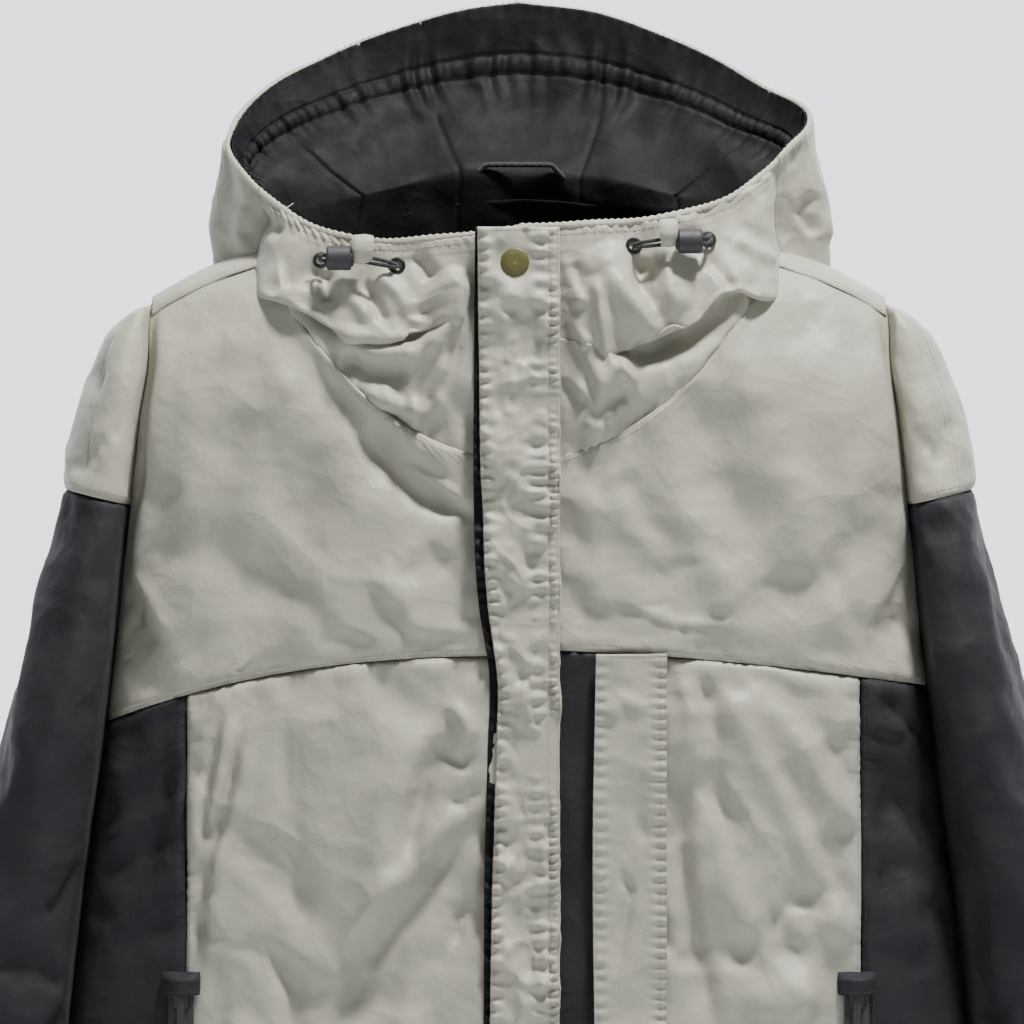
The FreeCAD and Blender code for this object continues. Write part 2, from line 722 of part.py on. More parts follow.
def make_flap():
    s = "Sizes."
    cloth_block = block("flap_cloth", s + "flap_left_x", s + "flap_y - Sizes.flap_thick",
                        s + "hem_z + 8", s + "flap_right_x - Sizes.flap_left_x", s + "flap_thick",
                        s + "flap_top_z - Sizes.hem_z - 8")
    holes = []
    for tag, z in (("high", s + "snap_high_z"), ("low", s + "snap_low_z")):
        holes.append(rod("flap_hole_" + tag, "Y", s + "snap_x", s + "flap_y - Sizes.flap_thick - 1", z,
                         s + "stem_radius + 0.1", s + "flap_thick + 2"))
    done(less("storm_flap", cloth_block, joined("flap_holes", holes)))
    done(block("chest_pocket_fly", s + "fly_left_x", s + "fly_y - Sizes.fly_thick", s + "fly_bottom_z",
               s + "fly_right_x - Sizes.fly_left_x", s + "fly_thick", s + "fly_top_z - Sizes.fly_bottom_z"))
    hooks = []
    loops = []
    for i in range(4):
        z = "Sizes.pad_top_z - Sizes.pad_tall - %d * Sizes.pad_pitch" % i
        x = "Sizes.pad_x - Sizes.pad_wide / 2"
        hooks.append(block("hook_pad_%d" % i, x, s + "flap_y", z, s + "pad_wide", s + "hook_thick",
                           s + "pad_tall"))
        loops.append(block("loop_pad_%d" % i, x, s + "front_y - Sizes.loop_thick - 0.3", z, s + "pad_wide",
                           s + "loop_thick", s + "pad_tall"))
    done(group("flap_hook_pads", hooks))
    done(group("flap_loop_pads", loops))


def make_snaps():
    """Cap and socket on the flap, stud on the front; each a turned piece facing forward."""
    forward = FreeCAD.Rotation(V(1, 0, 0), 90)
    x = size("snap_x")
    caps = []
    sockets = []
    studs = []
    for tag, z in (("high", size("snap_high_z")), ("low", size("snap_low_z"))):
        face = size("flap_y") - size("flap_thick")
        caps.append(turned_body("snap_cap_" + tag, [
            ("0", "-Sizes.flap_thick"), ("Sizes.stem_radius", "-Sizes.flap_thick"),
            ("Sizes.stem_radius", "0"), ("Sizes.cap_radius", "0"),
            ("Sizes.cap_radius", "Sizes.cap_thick * 0.35"),
            ("Sizes.cap_radius * 0.9", "Sizes.cap_thick * 0.7"),
            ("Sizes.cap_radius * 0.6", "Sizes.cap_thick * 0.95"),
            ("0", "Sizes.cap_thick")], V(x, face, z), forward))
        sockets.append(turned_body("snap_socket_" + tag, [
            ("Sizes.socket_bore", "0"), ("Sizes.socket_radius", "0"),
            ("Sizes.socket_radius", "-1.2"), ("Sizes.socket_radius - 1", "-2.2"),
            ("Sizes.socket_bore", "-2.2")], V(x, size("flap_y"), z), forward))
        studs.append(turned_body("snap_stud_" + tag, [
            ("0", "0"), ("Sizes.stud_radius", "0"), ("Sizes.stud_radius", "0.8"),
            ("Sizes.post_radius", "1.6"), ("Sizes.post_radius", "5.2"),
            ("0", "5.2")], V(x, size("front_y") - 0.1, z), forward))
    done(group("snap_caps", caps))
    done(group("snap_sockets", sockets))
    done(group("snap_studs", studs))


# ---------------------------------------------------------------- cord adjusters

ADJUSTERS = {
    # side: lock centre x and z, outer eyelet x and z, inner eyelet x and z
    "right": (-117, -70, -129, -70.9, -79.3, -74.8),
    "left": (111.5, -59, 123.5, -57.2, 74.8, -61.8),
}


def collar_spot(x, z):
    """The collar's surface point and outward normal at a front-view place."""
    x_neck = x * 0.9
    f = 0.8
    for _ in range(30):
        p = collar(x_neck, f)
        x_neck += (x - p.x) * 0.7
        f += (z - p.z) / 150 * 0.7
    run = collar(x_neck + 0.5, f) - collar(x_neck - 0.5, f)
    rise = collar(x_neck, f + 0.01) - collar(x_neck, f - 0.01)
    normal = run.cross(rise)
    normal.normalize()
    return collar(x_neck, f), normal


def rounded_path(points, radius):
    """Straight runs joined by tangent arcs."""
    edges = []
    start = points[0]
    for before, corner, after in zip(points, points[1:], points[2:]):
        arrive = (corner - before).normalize()
        leave = (after - corner).normalize()
        turn = arrive.getAngle(leave)
        if turn < 0.02:
            continue
        bite = min(radius * math.tan(turn / 2), 0.45 * (corner - before).Length,
                   0.45 * (after - corner).Length)
        first = corner - arrive * bite
        last = corner + leave * bite
        bow = bite / math.tan(turn / 2)
        inward = (leave - arrive).normalize()
        centre = corner + inward * (bow / math.cos(turn / 2))
        edges.append(Part.LineSegment(start, first).toShape())
        edges.append(Part.Arc(first, centre - inward * bow, last).toShape())
        start = last
    edges.append(Part.LineSegment(start, points[-1]).toShape())
    return Part.Wire(edges)


def hose(points, bend, radius):
    path = rounded_path(points, bend)
    heading = points[1] - points[0]
    circle = Part.Wire([Part.Circle(points[0], heading, radius).toShape()])
    return path.makePipeShell([circle], True, False)


def make_adjusters():
    s = "Sizes."
    barrels = []
    strands = []
    rings = []
    for side, (lock_x, lock_z, outer_x, outer_z, inner_x, inner_z) in ADJUSTERS.items():
        inwards = 1 if side == "right" else -1
        spot, normal = collar_spot(lock_x, lock_z)
        lock_y = spot.y - size("shell_thick") - size("lock_radius") - 3.0
        start = lock_x - inwards * size("lock_long") / 2
        axis = FreeCAD.Rotation(V(0, 0, 1), V(inwards, 0, 0))
        barrel = turned_body("barrel_" + side, [
            ("0", "0"), ("Sizes.lock_radius - 1", "0"), ("Sizes.lock_radius", "1.4"),
            ("Sizes.lock_radius", "Sizes.lock_long - 0.8"), ("Sizes.lock_radius - 0.8", "Sizes.lock_long"),
            ("Sizes.lock_bore", "Sizes.lock_long"), ("Sizes.lock_bore", "Sizes.lock_wall"),
            ("0", "Sizes.lock_wall")], V(start, lock_y, lock_z), axis)
        rises = {"low": -size("strand_rise"), "high": size("strand_rise")}
        tunnels = []
        for tag, rise in rises.items():
            tunnel = rod("lock_tunnel_%s_%s" % (side, tag), "X", str(lock_x - 20), str(lock_y),
                         str(lock_z + rise), s + "cord_radius + Sizes.strand_play", "40")
            tunnels.append(tunnel)
        bores = joined("lock_bores_" + side, tunnels)
        barrels.append(less("bored_barrel_" + side, barrel, bores))
        travel_end = size("lock_long") - size("plunger_long") + size("plunger_travel") * 0.6
        plunger = turned_body("plunger_" + side, [
            ("0", "0"), ("Sizes.lock_bore - Sizes.plunger_play", "0"),
            ("Sizes.lock_bore - Sizes.plunger_play", "Sizes.plunger_long - 1"),
            ("Sizes.lock_bore - 1", "Sizes.plunger_long"), ("0", "Sizes.plunger_long")],
            V(start + inwards * travel_end, lock_y, lock_z), axis)
        done(less("cord_lock_button_" + side, plunger, bores))
        coil_start = start + inwards * (size("lock_wall") + 0.2)
        coil_end = start + inwards * (travel_end - 0.2)
        done(keep_spring("cord_lock_spring_" + side, coil_start, coil_end, lock_y, lock_z))
        outer_spot, outer_normal = collar_spot(outer_x, outer_z)
        inner_spot, inner_normal = collar_spot(inner_x, inner_z)
        for tag, rise in rises.items():
            shift = V(0, 0, 0.7 * rise)
            strands.append(hose([
                outer_spot + outer_normal * size("cord_end_lift") + V(0, 0, 0.25 * rise),
                outer_spot + outer_normal * 7 + shift,
                V(start - inwards * 2.0, lock_y, lock_z + rise),
                V(start + inwards * (size("lock_long") + 5), lock_y, lock_z + rise),
                inner_spot + inner_normal * 6.5 - V(inwards * 3, 0, 0) + shift,
                inner_spot + inner_normal * size("cord_end_lift") + V(0, 0, 0.25 * rise)],
                3.5, size("cord_radius")))
        for tag, place, normal_out in (("outer", outer_spot, outer_normal),
                                       ("inner", inner_spot, inner_normal)):
            rings.append(turned_body("eyelet_%s_%s" % (tag, side), [
                ("Sizes.eyelet_hole", "0.2"), ("Sizes.eyelet_radius", "0.2"),
                ("Sizes.eyelet_radius", "0.8"), ("Sizes.eyelet_radius - 0.8", "Sizes.eyelet_thick"),
                ("Sizes.eyelet_hole", "Sizes.eyelet_thick")],
                place, FreeCAD.Rotation(V(0, 0, 1), normal_out)))
    done(group("cord_lock_barrels", barrels))
    keep("hood_drawcords", Part.makeCompound(strands))
    done(group("hood_eyelets", rings))


def keep_spring(node, x0, x1, y, z):
    """A compression spring round both strands, as a thin sleeve of its outer size."""
    low = min(x0, x1)
    outer = Part.makeCylinder(size("lock_bore") - 0.5, abs(x1 - x0), V(low, y, z), V(1, 0, 0))
    inner = Part.makeCylinder(size("lock_bore") - 1.3, abs(x1 - x0), V(low, y, z), V(1, 0, 0))
    feature = doc.addObject("Part::Feature", node)
    feature.Shape = outer.cut(inner)
    return feature


# ---------------------------------------------------------------- cuffs, loop and label

def make_cuff_tabs():
    s = "Sizes."
    for side in (-1, 1):
        z = "Sizes.tab_z - Sizes.tab_tall / 2"
        front = MID_Y - 2 - sleeve_depth(size("tab_z"))
        middle = (sleeve_outer_x(size("tab_z")) + sleeve_inner_x(size("tab_z"))) / 2
        left = "%s" % (middle - 28) if side > 0 else "%s - Sizes.tab_long" % (28 - middle)
        y = "%s - Sizes.tab_rest" % front
        done(block(name_of("cuff_tab", side), left, y, z, s + "tab_long", s + "tab_thick", s + "tab_tall"))


def make_loop_and_label():
    wide = size("loop_wide") / 2
    drop = size("loop_drop")
    radius = size("loop_radius")
    keep("hanger_loop", hose([
        V(-wide, 0, -drop), V(-wide, -6, -drop + 2), V(-wide + 8, -9, -radius), V(0, -10, -radius),
        V(wide - 8, -9, -radius), V(wide, -6, -drop + 2), V(wide, 0, -drop)], 5, radius))
    done(plate_body("neck_label", [
        ("-Sizes.label_wide / 2", "0"), ("Sizes.label_wide / 2", "0"),
        ("Sizes.label_wide / 2", "Sizes.label_tall"), ("-Sizes.label_wide / 2", "Sizes.label_tall")],
        "0.6", V(0, 5, -size("loop_drop") - size("label_tall") - 24)))


# ---------------------------------------------------------------- finish

make_yokes()
make_lower_panels()
make_linings()
make_collar()
make_hood()
make_sleeves()
make_all_zips()
make_pockets()
make_flap()
make_snaps()
make_adjusters()
make_cuff_tabs()
make_loop_and_label()

doc.recompute()
os.makedirs("parts", exist_ok=True)
for obj in doc.Objects:
    if {"Invalid", "Error"} & set(obj.State):
        raise RuntimeError("%s failed" % obj.Name)
for obj in NODES:
    if obj.Shape.isNull() or not obj.Shape.isValid() or obj.Shape.Volume <= 0:
        raise RuntimeError("%s has no valid shape" % obj.Label)
for obj in NODES:
    obj.Shape.exportStep("parts/%s.step" % obj.Label)
print(len(NODES), "sub-parts")
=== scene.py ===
import math

import bpy
import numpy as np
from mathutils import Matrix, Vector, noise


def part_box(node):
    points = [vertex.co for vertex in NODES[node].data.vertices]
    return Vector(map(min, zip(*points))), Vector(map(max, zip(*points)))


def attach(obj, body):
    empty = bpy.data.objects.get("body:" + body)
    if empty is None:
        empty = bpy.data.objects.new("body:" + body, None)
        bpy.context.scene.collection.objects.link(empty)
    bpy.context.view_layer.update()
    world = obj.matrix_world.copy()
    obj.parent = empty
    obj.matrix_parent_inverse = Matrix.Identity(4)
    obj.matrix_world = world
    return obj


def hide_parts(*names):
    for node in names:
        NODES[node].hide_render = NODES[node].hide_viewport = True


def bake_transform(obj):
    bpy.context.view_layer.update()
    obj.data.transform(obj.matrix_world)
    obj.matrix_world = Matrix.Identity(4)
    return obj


# Hardshell jacket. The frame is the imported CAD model: front faces -Y, +Z is up, metres.
# Garment surfaces are worked out in millimetres and scaled when a mesh is made.

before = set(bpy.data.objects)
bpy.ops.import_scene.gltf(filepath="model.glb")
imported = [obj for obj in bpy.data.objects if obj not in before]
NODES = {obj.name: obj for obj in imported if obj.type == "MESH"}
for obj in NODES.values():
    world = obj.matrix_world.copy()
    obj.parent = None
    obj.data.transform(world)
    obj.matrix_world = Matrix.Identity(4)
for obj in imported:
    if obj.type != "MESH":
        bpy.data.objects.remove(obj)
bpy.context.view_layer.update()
MM = 0.001

# ---------------------------------------------------------------- sizes, millimetres

MID_Y = -40.0
SQUARE = 3.0
HEM_Z = -770.0
FRONT_DEPTH = 76.0
BACK_DEPTH = 62.0
NECK_HALF = 165.0
CLOTH = 0.7
LINING_CLOTH = 0.5


def smooth(f):
    f = np.clip(f, 0.0, 1.0)
    return f * f * (3 - 2 * f)


def mix(a, b, f):
    return a + (b - a) * f


def through(stops, at):
    """A smooth line through (place, value) stops, read at one or many places."""
    place = np.array([s[0] for s in stops], float)
    value = np.array([s[1] for s in stops], float)
    at = np.clip(np.asarray(at, float), place[0], place[-1])
    k = np.clip(np.searchsorted(place, at, side="right") - 1, 0, len(place) - 2)
    slope = np.gradient(value, place)
    wide = place[k + 1] - place[k]
    f = (at - place[k]) / wide
    h00 = 2 * f ** 3 - 3 * f ** 2 + 1
    h10 = f ** 3 - 2 * f ** 2 + f
    h01 = -2 * f ** 3 + 3 * f ** 2
    h11 = f ** 3 - f ** 2
    return h00 * value[k] + h10 * wide * slope[k] + h01 * value[k + 1] + h11 * wide * slope[k + 1]


# ---------------------------------------------------------------- the garment's surfaces

def half_width(z):
    return 262 + 50 * smooth((-200 - z) / 570)


def shoulder_line(x):
    out = np.abs(x)
    past = np.maximum(out - 150, 0)
    return np.where(out < 150, 3 - 57 * (out / 150) ** 2, -54 - 15 * past / 50 - 20 * (past / 112) ** 3)


def roundness(drop, reach):
    f = 1 - np.clip(drop / reach, 0, 1)
    return np.sqrt(np.maximum(1 - f * f, 0))


def torso(angle, z):
    """Torso surface: 0 is the front centre, 90 the wearer's left side, 180 the back centre."""
    s = np.sin(np.radians(angle))
    c = np.cos(np.radians(angle))
    reach = (np.abs(s) ** SQUARE + np.abs(c) ** SQUARE) ** (-1 / SQUARE)
    x = half_width(z) * reach * s
    drop = shoulder_line(x) - z
    front = MID_Y - FRONT_DEPTH * c * reach * roundness(drop, 110)
    back = MID_Y - BACK_DEPTH * c * reach * roundness(drop, 60)
    return np.stack([x, np.where(c >= 0, front, back), z + 0 * x], -1)


def angle_at(x, z):
    out = np.clip(np.abs(x) / half_width(z), 0, 1)
    return np.degrees(np.arctan2(out, (1 - out ** SQUARE) ** (1 / SQUARE))) * np.sign(x)


def front_y(x, z):
    return torso(angle_at(x, z), z)[..., 1]


def yoke_seam(x):
    right = -329 - 45 * (np.abs(x) / 274) ** 2.4
    left = -325 - 26 * (np.abs(x) / 277) ** 1.7
    return np.where(x < 0, right, left)


def back_seam(x):
    return -300 - 22 * (np.abs(x) / 274) ** 2


def neckline_z(x):
    return -58 - 142 * np.maximum(1 - (x / NECK_HALF) ** 2, 0) ** 0.75


def yoke_top(x):
    inside = np.minimum(neckline_z(np.clip(x, -NECK_HALF, NECK_HALF)), shoulder_line(x) - 0.5)
    return np.where(np.abs(x) < NECK_HALF, inside, shoulder_line(x) - 0.5)


def back_top(x):
    out = np.abs(x)
    neck = -14 - 44 * (x / NECK_HALF) ** 2 - 13 * smooth((out - 78) / 34) * smooth((NECK_HALF + 1 - out) / 18)
    return np.where(np.abs(x) < NECK_HALF, np.minimum(neck, shoulder_line(x) - 0.5), shoulder_line(x) - 0.5)


# ---------------------------------------------------------------- wrinkles

def field(points, size, seed, stretch=(1.0, 1.0, 1.0)):
    """Soft noise over an array of points, between about -1 and 1; size in millimetres."""
    flat = points.reshape(-1, 3) / size * np.array(stretch) + seed * 13.7
    values = np.array([noise.noise(Vector(p)) for p in flat])
    return values.reshape(points.shape[:-1]) * 1.6


def ridges(points, size, seed, stretch=(1.0, 1.0, 1.0)):
    """Thin raised lines, like the creases that stay in nylon."""
    return (1 - np.abs(field(points, size, seed, stretch))) ** 5


def stroke(x, z, height, soft, hard, line):
    """One fold along a line of (x, z) points: soft is its width on the left of the line, hard on the right."""
    line = np.array(line, float)
    runs = np.linalg.norm(np.diff(line, axis=0), axis=1)
    total = runs.sum()
    best = np.full(x.shape, 1e9)
    signed = np.zeros(x.shape)  # 1 on the soft side, -1 on the hard side
    along = np.zeros(x.shape)
    walked = 0.0
    for (ax, az), (bx, bz), run in zip(line, line[1:], runs):
        dx, dz = (bx - ax) / run, (bz - az) / run
        f = np.clip((x - ax) * dx + (z - az) * dz, 0, run)
        px, pz = x - ax - dx * f, z - az - dz * f
        far = np.hypot(px, pz)
        near = far < best
        best = np.where(near, far, best)
        signed = np.where(near, (dx * pz - dz * px) / np.maximum(far, 1e-6), signed)
        along = np.where(near, (walked + f) / total, along)
        walked += run
    ends = smooth(along / 0.22) * smooth((1 - along) / 0.22)
    wide = mix(hard, soft, smooth(0.5 + 0.5 * np.clip(signed * 1.6, -1, 1)))
    return height * np.exp(-(best / wide) ** 2) * (0.12 + 0.88 * ends) * np.exp(-np.maximum(best - 40, 0))


def strokes(x, z, folds):
    total = np.zeros(x.shape)
    for height, soft, hard, line in folds:
        total += stroke(x, z, height, soft, hard, line)
    return total


FOLD_DEPTH = 2.0
COLLAR_DEPTH = 2.5

FRONT_FOLDS = [
    # beside the armhole, wearer's right
    (-4.2, 4, 9, [(-245, -94), (-243, -136), (-247, -183), (-256, -240), (-262, -300)]),
    (2.6, 12, 5, [(-236, -96), (-234, -150), (-240, -210), (-250, -270)]),
    (-2.8, 3, 6, [(-259, -128), (-261, -190), (-264, -236)]),
    # the chest, wearer's right
    (-3.0, 24, 18, [(-124, -176), (-146, -244), (-172, -300), (-190, -346)]),
    (2.2, 18, 16, [(-92, -196), (-116, -262), (-148, -336)]),
    (-2.8, 10, 16, [(-148, -124), (-112, -164), (-76, -206), (-32, -240)]),
    (2.0, 14, 7, [(-134, -118), (-98, -160), (-62, -196), (-34, -212)]),
    (-2.8, 8, 5, [(-106, -182), (-84, -208), (-64, -228), (-34, -240)]),
    (1.8, 3, 4, [(-76, -204), (-56, -214), (-36, -226)]),
    (-1.8, 4, 4, [(-58, -220), (-44, -232), (-30, -238)]),
    (2.6, 12, 5, [(-98, -272), (-76, -294), (-64, -324)]),
    (-2.0, 8, 8, [(-82, -282), (-58, -262), (-40, -276)]),
    (-2.4, 8, 9, [(-268, -286), (-252, -304), (-236, -328)]),
    (1.6, 6, 6, [(-262, -268), (-240, -292), (-226, -322)]),
    (1.8, 20, 14, [(-222, -112), (-214, -180), (-216, -250), (-226, -316)]),
    (-1.6, 18, 18, [(-196, -120), (-190, -190), (-196, -270)]),
    (1.4, 9, 9, [(-166, -120), (-160, -146), (-140, -160)]),
    # lower panel, wearer's right
    (-2.4, 3, 4, [(-193, -368), (-201, -405), (-203.5, -435), (-201, -462)]),
    (-3.6, 3, 5, [(-179, -371), (-186, -411), (-194, -441), (-203, -467), (-207, -501), (-208, -550)]),
    (2.0, 5, 4, [(-187, -366), (-193, -405), (-199, -440)]),
    (2.0, 6, 9, [(-172, -372), (-179, -411), (-187, -441), (-195, -470), (-199, -520)]),
    (-2.0, 8, 9, [(-152, -350), (-149, -400), (-145, -459), (-139, -526)]),
    (-3.0, 9, 5, [(-160, -512), (-152, -532), (-145, -548), (-150, -590)]),
    (4.2, 14, 13, [(-48, -366), (-70, -388), (-84, -420), (-90, -467), (-104, -504)]),
    (-3.4, 6, 6, [(-50, -384), (-62, -404), (-69, -440), (-72, -462)]),
    (3.6, 11, 9, [(-34, -424), (-62, -454), (-91, -486), (-112, -512)]),
    (-5.0, 11, 12, [(-34, -438), (-54, -472), (-83, -504), (-103, -528), (-106, -570)]),
    (2.8, 12, 10, [(-44, -488), (-66, -520), (-74, -560), (-70, -610)]),
    (-2.6, 3, 5, [(-57, -381), (-46, -394), (-36, -398), (-32, -386)]),
    (2.2, 5, 4, [(-46, -356), (-34, -372), (-30, -384)]),
    (-2.2, 3, 4, [(-27, -488), (-39, -500), (-41, -518)]),
    (-2.0, 4, 5, [(-24, -412), (-36, -424), (-48, -420)]),
    (0.7, 2.2, 2.2, [(-172, -438), (-156, -456), (-140, -474)]),
    (0.6, 2.0, 2.0, [(-180, -430), (-150, -444), (-120, -470)]),
    (0.6, 2.0, 2.0, [(-150, -350), (-146, -400), (-148, -452)]),
    (2.0, 12, 10, [(-120, -560), (-100, -610), (-104, -680), (-90, -740)]),
    (2.2, 10, 12, [(-190, -560), (-160, -600), (-150, -660)]),
    (-2.2, 10, 10, [(-60, -600), (-50, -660), (-56, -740)]),
    # chest, wearer's left
    (-3.0, 9, 4, [(240, -96), (247, -150), (257, -215), (266, -280)]),
    (2.4, 5, 12, [(231, -98), (237, -150), (246, -212), (256, -280)]),
    (2.2, 18, 14, [(140, -118), (158, -180), (186, -250), (222, -320)]),
    (-2.4, 16, 16, [(112, -160), (134, -220), (160, -280), (180, -330)]),
    (2.0, 12, 12, [(92, -186), (112, -240), (136, -290), (150, -324)]),
    (-1.8, 9, 9, [(66, -206), (84, -240), (104, -262)]),
    (1.6, 8, 8, [(44, -214), (52, -262), (50, -312)]),
    (-1.8, 9, 7, [(196, -260), (214, -296), (240, -336)]),
    (1.5, 14, 14, [(206, -130), (212, -190), (226, -250)]),
    (-1.4, 6, 6, [(246, -300), (262, -312), (274, -332)]),
    (1.0, 3, 3, [(60, -290), (100, -306), (150, -310)]),
    # lower panel, wearer's left
    (-3.6, 8, 6, [(116, -328), (128, -381), (124, -416), (146, -456)]),
    (2.2, 5, 5, [(106, -340), (112, -364), (108, -392)]),
    (-4.6, 6, 10, [(109, -406), (105, -448), (111, -490), (120, -532), (126, -580)]),
    (2.8, 9, 9, [(131, -345), (154, -389), (186, -448), (211, -515), (217, -548)]),
    (2.2, 8, 8, [(171, -370), (194, -406), (220, -446)]),
    (-2.0, 8, 8, [(150, -372), (176, -416), (204, -470)]),
    (-1.8, 7, 7, [(186, -362), (206, -392), (218, -420)]),
    (2.4, 10, 10, [(126, -440), (140, -490), (172, -540), (204, -560)]),
    (1.0, 2.4, 2.4, [(132, -430), (142, -446), (150, -462)]),
    (0.9, 2.4, 2.4, [(128, -400), (150, -430), (176, -470)]),
    (3.0, 14, 10, [(142, -552), (174, -558), (212, -540)]),
    (-2.6, 12, 10, [(136, -520), (160, -530), (190, -516)]),
    (2.2, 14, 10, [(120, -610), (150, -670), (186, -730)]),
    (-2.2, 10, 10, [(190, -600), (200, -660), (190, -730)]),
    # side panels
    (-2.0, 3, 5, [(-228, -372), (-231, -420), (-238, -450), (-246, -478)]),
    (2.2, 10, 8, [(-262, -392), (-256, -420), (-264, -460)]),
    (2.4, 9, 9, [(-230, -500), (-238, -560), (-232, -640)]),
    (-2.6, 6, 8, [(-240, -520), (-246, -570), (-250, -620)]),
    (-2.4, 3, 4, [(238, -398), (243, -439), (245, -506)]),
    (-2.0, 3, 4, [(248, -418), (256, -434), (267, -458)]),
    (-2.2, 4, 5, [(241, -352), (247, -368), (265, -385)]),
    (1.8, 6, 6, [(228, -372), (244, -378), (256, -372)]),
    (2.0, 10, 8, [(254, -470), (258, -520), (250, -580)]),
]


def torso_wrinkles(points, seed):
    """How far the torso cloth stands out of its base surface."""
    x, z = points[..., 0], points[..., 2]
    calm = smooth((shoulder_line(x) - z) / 60)
    slow = 2.0 * field(points, 150, seed, (1.0, 1.0, 0.55)) * calm
    drape = 0.7 * field(points, 55, seed + 1, (1.0, 1.0, 0.5))
    crease = 0.8 * ridges(points, 60, seed + 2, (0.8, 0.8, 1.0)) + 0.45 * ridges(points, 26, seed + 3)
    crease -= 0.5 * ridges(points, 44, seed + 5, (1.0, 1.0, 0.6))
    fine = 0.16 * field(points, 11, seed + 4)
    return slow + drape + crease + fine


# ---------------------------------------------------------------- cloth simulation

SIM_UNIT = 0.01  # the simulation runs at ten times life size, where its solver is steady


def spread(values, places, count):
    """Values at some places along the first axis, read smoothly at every place from 0 to count - 1."""
    slope = np.gradient(values, places, axis=0)
    at = np.arange(count, dtype=float)
    k = np.clip(np.searchsorted(places, at, side="right") - 1, 0, len(places) - 2)
    wide = (places[k + 1] - places[k]).astype(float)
    f = ((at - places[k]) / wide)[:, None, None]
    wide = wide[:, None, None]
    return ((2 * f ** 3 - 3 * f ** 2 + 1) * values[k] + (f ** 3 - 2 * f ** 2 + f) * wide * slope[k]
            + (3 * f ** 2 - 2 * f ** 3) * values[k + 1] + (f ** 3 - f ** 2) * wide * slope[k + 1])


def settle(points, excess, seed, cell=8.0, frames=16, cap=6.0, pins="lrtb", stiff=0.6, weight=0.3):
    """Simulates a sewn panel cut a little too large for its seams, and returns how far each place moves."""
    across = np.linalg.norm(np.diff(points, axis=0), axis=-1).sum(axis=0).max()
    along = np.linalg.norm(np.diff(points, axis=1), axis=-1).sum(axis=1).max()
    rows = np.unique(np.linspace(0, points.shape[0] - 1, max(int(across / cell), 4)).round().astype(int))
    cols = np.unique(np.linspace(0, points.shape[1] - 1, max(int(along / cell), 4)).round().astype(int))
    coarse = points[np.ix_(rows, cols)]
    start = raised(coarse, 0.8 * field(coarse, 3.2 * cell, seed))
    obj = grid_mesh("settling", start * (SIM_UNIT / MM), None, 0)
    group = obj.vertex_groups.new(name="sewn")
    held = np.zeros(coarse.shape[:2], bool)
    held[0] |= "l" in pins
    held[-1] |= "r" in pins
    held[:, 0] |= "t" in pins
    held[:, -1] |= "b" in pins
    group.add([int(i) for i in np.flatnonzero(held)], 1.0, "REPLACE")
    cloth = obj.modifiers.new("cloth", "CLOTH")
    cloth.settings.quality = 5
    cloth.settings.mass = weight
    cloth.settings.tension_stiffness = 12
    cloth.settings.compression_stiffness = 12
    cloth.settings.shear_stiffness = 8
    cloth.settings.bending_stiffness = stiff
    cloth.settings.air_damping = 2
    cloth.settings.vertex_group_mass = "sewn"
    cloth.settings.shrink_min = -excess
    cloth.settings.effector_weights.gravity = 0.25
    cloth.collision_settings.use_collision = False
    cloth.point_cache.frame_start = 1
    cloth.point_cache.frame_end = frames
    for frame_number in range(1, frames + 1):
        bpy.context.scene.frame_set(frame_number)
    evaluated = obj.evaluated_get(bpy.context.evaluated_depsgraph_get())
    moved = np.array([v.co for v in evaluated.data.vertices]).reshape(coarse.shape) / SIM_UNIT
    bpy.data.objects.remove(obj)
    bpy.context.scene.frame_set(1)
    shift = moved - coarse
    far = np.linalg.norm(shift, axis=-1, keepdims=True)
    shift *= np.minimum(1, cap / np.maximum(far, 1e-6))
    wide = spread(shift, rows, points.shape[0])
    return spread(wide.transpose(1, 0, 2), cols, points.shape[1]).transpose(1, 0, 2)


# ---------------------------------------------------------------- mesh making

def grid_of(across, along):
    u = np.linspace(0, 1, across + 1)[:, None] + np.zeros((1, along + 1))
    v = np.linspace(0, 1, along + 1)[None, :] + np.zeros((across + 1, 1))
    return u, v


def outward(points):
    du = np.gradient(points, axis=0)
    dv = np.gradient(points, axis=1)
    n = np.cross(dv, du)
    return n / np.maximum(np.linalg.norm(n, axis=-1, keepdims=True), 1e-9)


def raised(points, amount):
    return points + outward(points) * amount[..., None]


def spans(points):
    """Distance in millimetres from each place to the four edges, and along them: left, right, top, bottom, u run, v run."""
    du = np.linalg.norm(np.diff(points, axis=0), axis=-1)
    dv = np.linalg.norm(np.diff(points, axis=1), axis=-1)
    u_run = np.concatenate([np.zeros((1, points.shape[1])), np.cumsum(du, axis=0)])
    v_run = np.concatenate([np.zeros((points.shape[0], 1)), np.cumsum(dv, axis=1)], axis=1)
    return u_run, u_run[-1:] - u_run, v_run, v_run[:, -1:] - v_run


def edge_work(points, edges, seed, pucker=0.8, pitch=8.0, reach=8.0, roll=1.1):
    """Puckers and a rolled edge along the named sewn edges."""
    left, right, top, bottom = spans(points)
    amount = np.zeros(points.shape[:-1])
    for edge, gap, run in (("l", left, top), ("r", right, top), ("t", top, left), ("b", bottom, left)):
        if edge not in edges:
            continue
        wander = 1.2 * np.sin(run / 31 + seed) + 0.8 * np.sin(run / 13.7 + 2 * seed)
        wave = np.sin(2 * math.pi * run / pitch + wander) * (0.6 + 0.4 * np.sin(run / 23 + seed * 3))
        amount += pucker * wave * np.exp(-((gap - 3) / reach) ** 2)
        amount -= roll * np.exp(-(gap / 1.6) ** 2)
        amount += 0.35 * np.exp(-((gap - 4.5) / 3.2) ** 2)
        amount += 0.25 * (1 - smooth((gap - 11.5) / 1.6))
    return amount


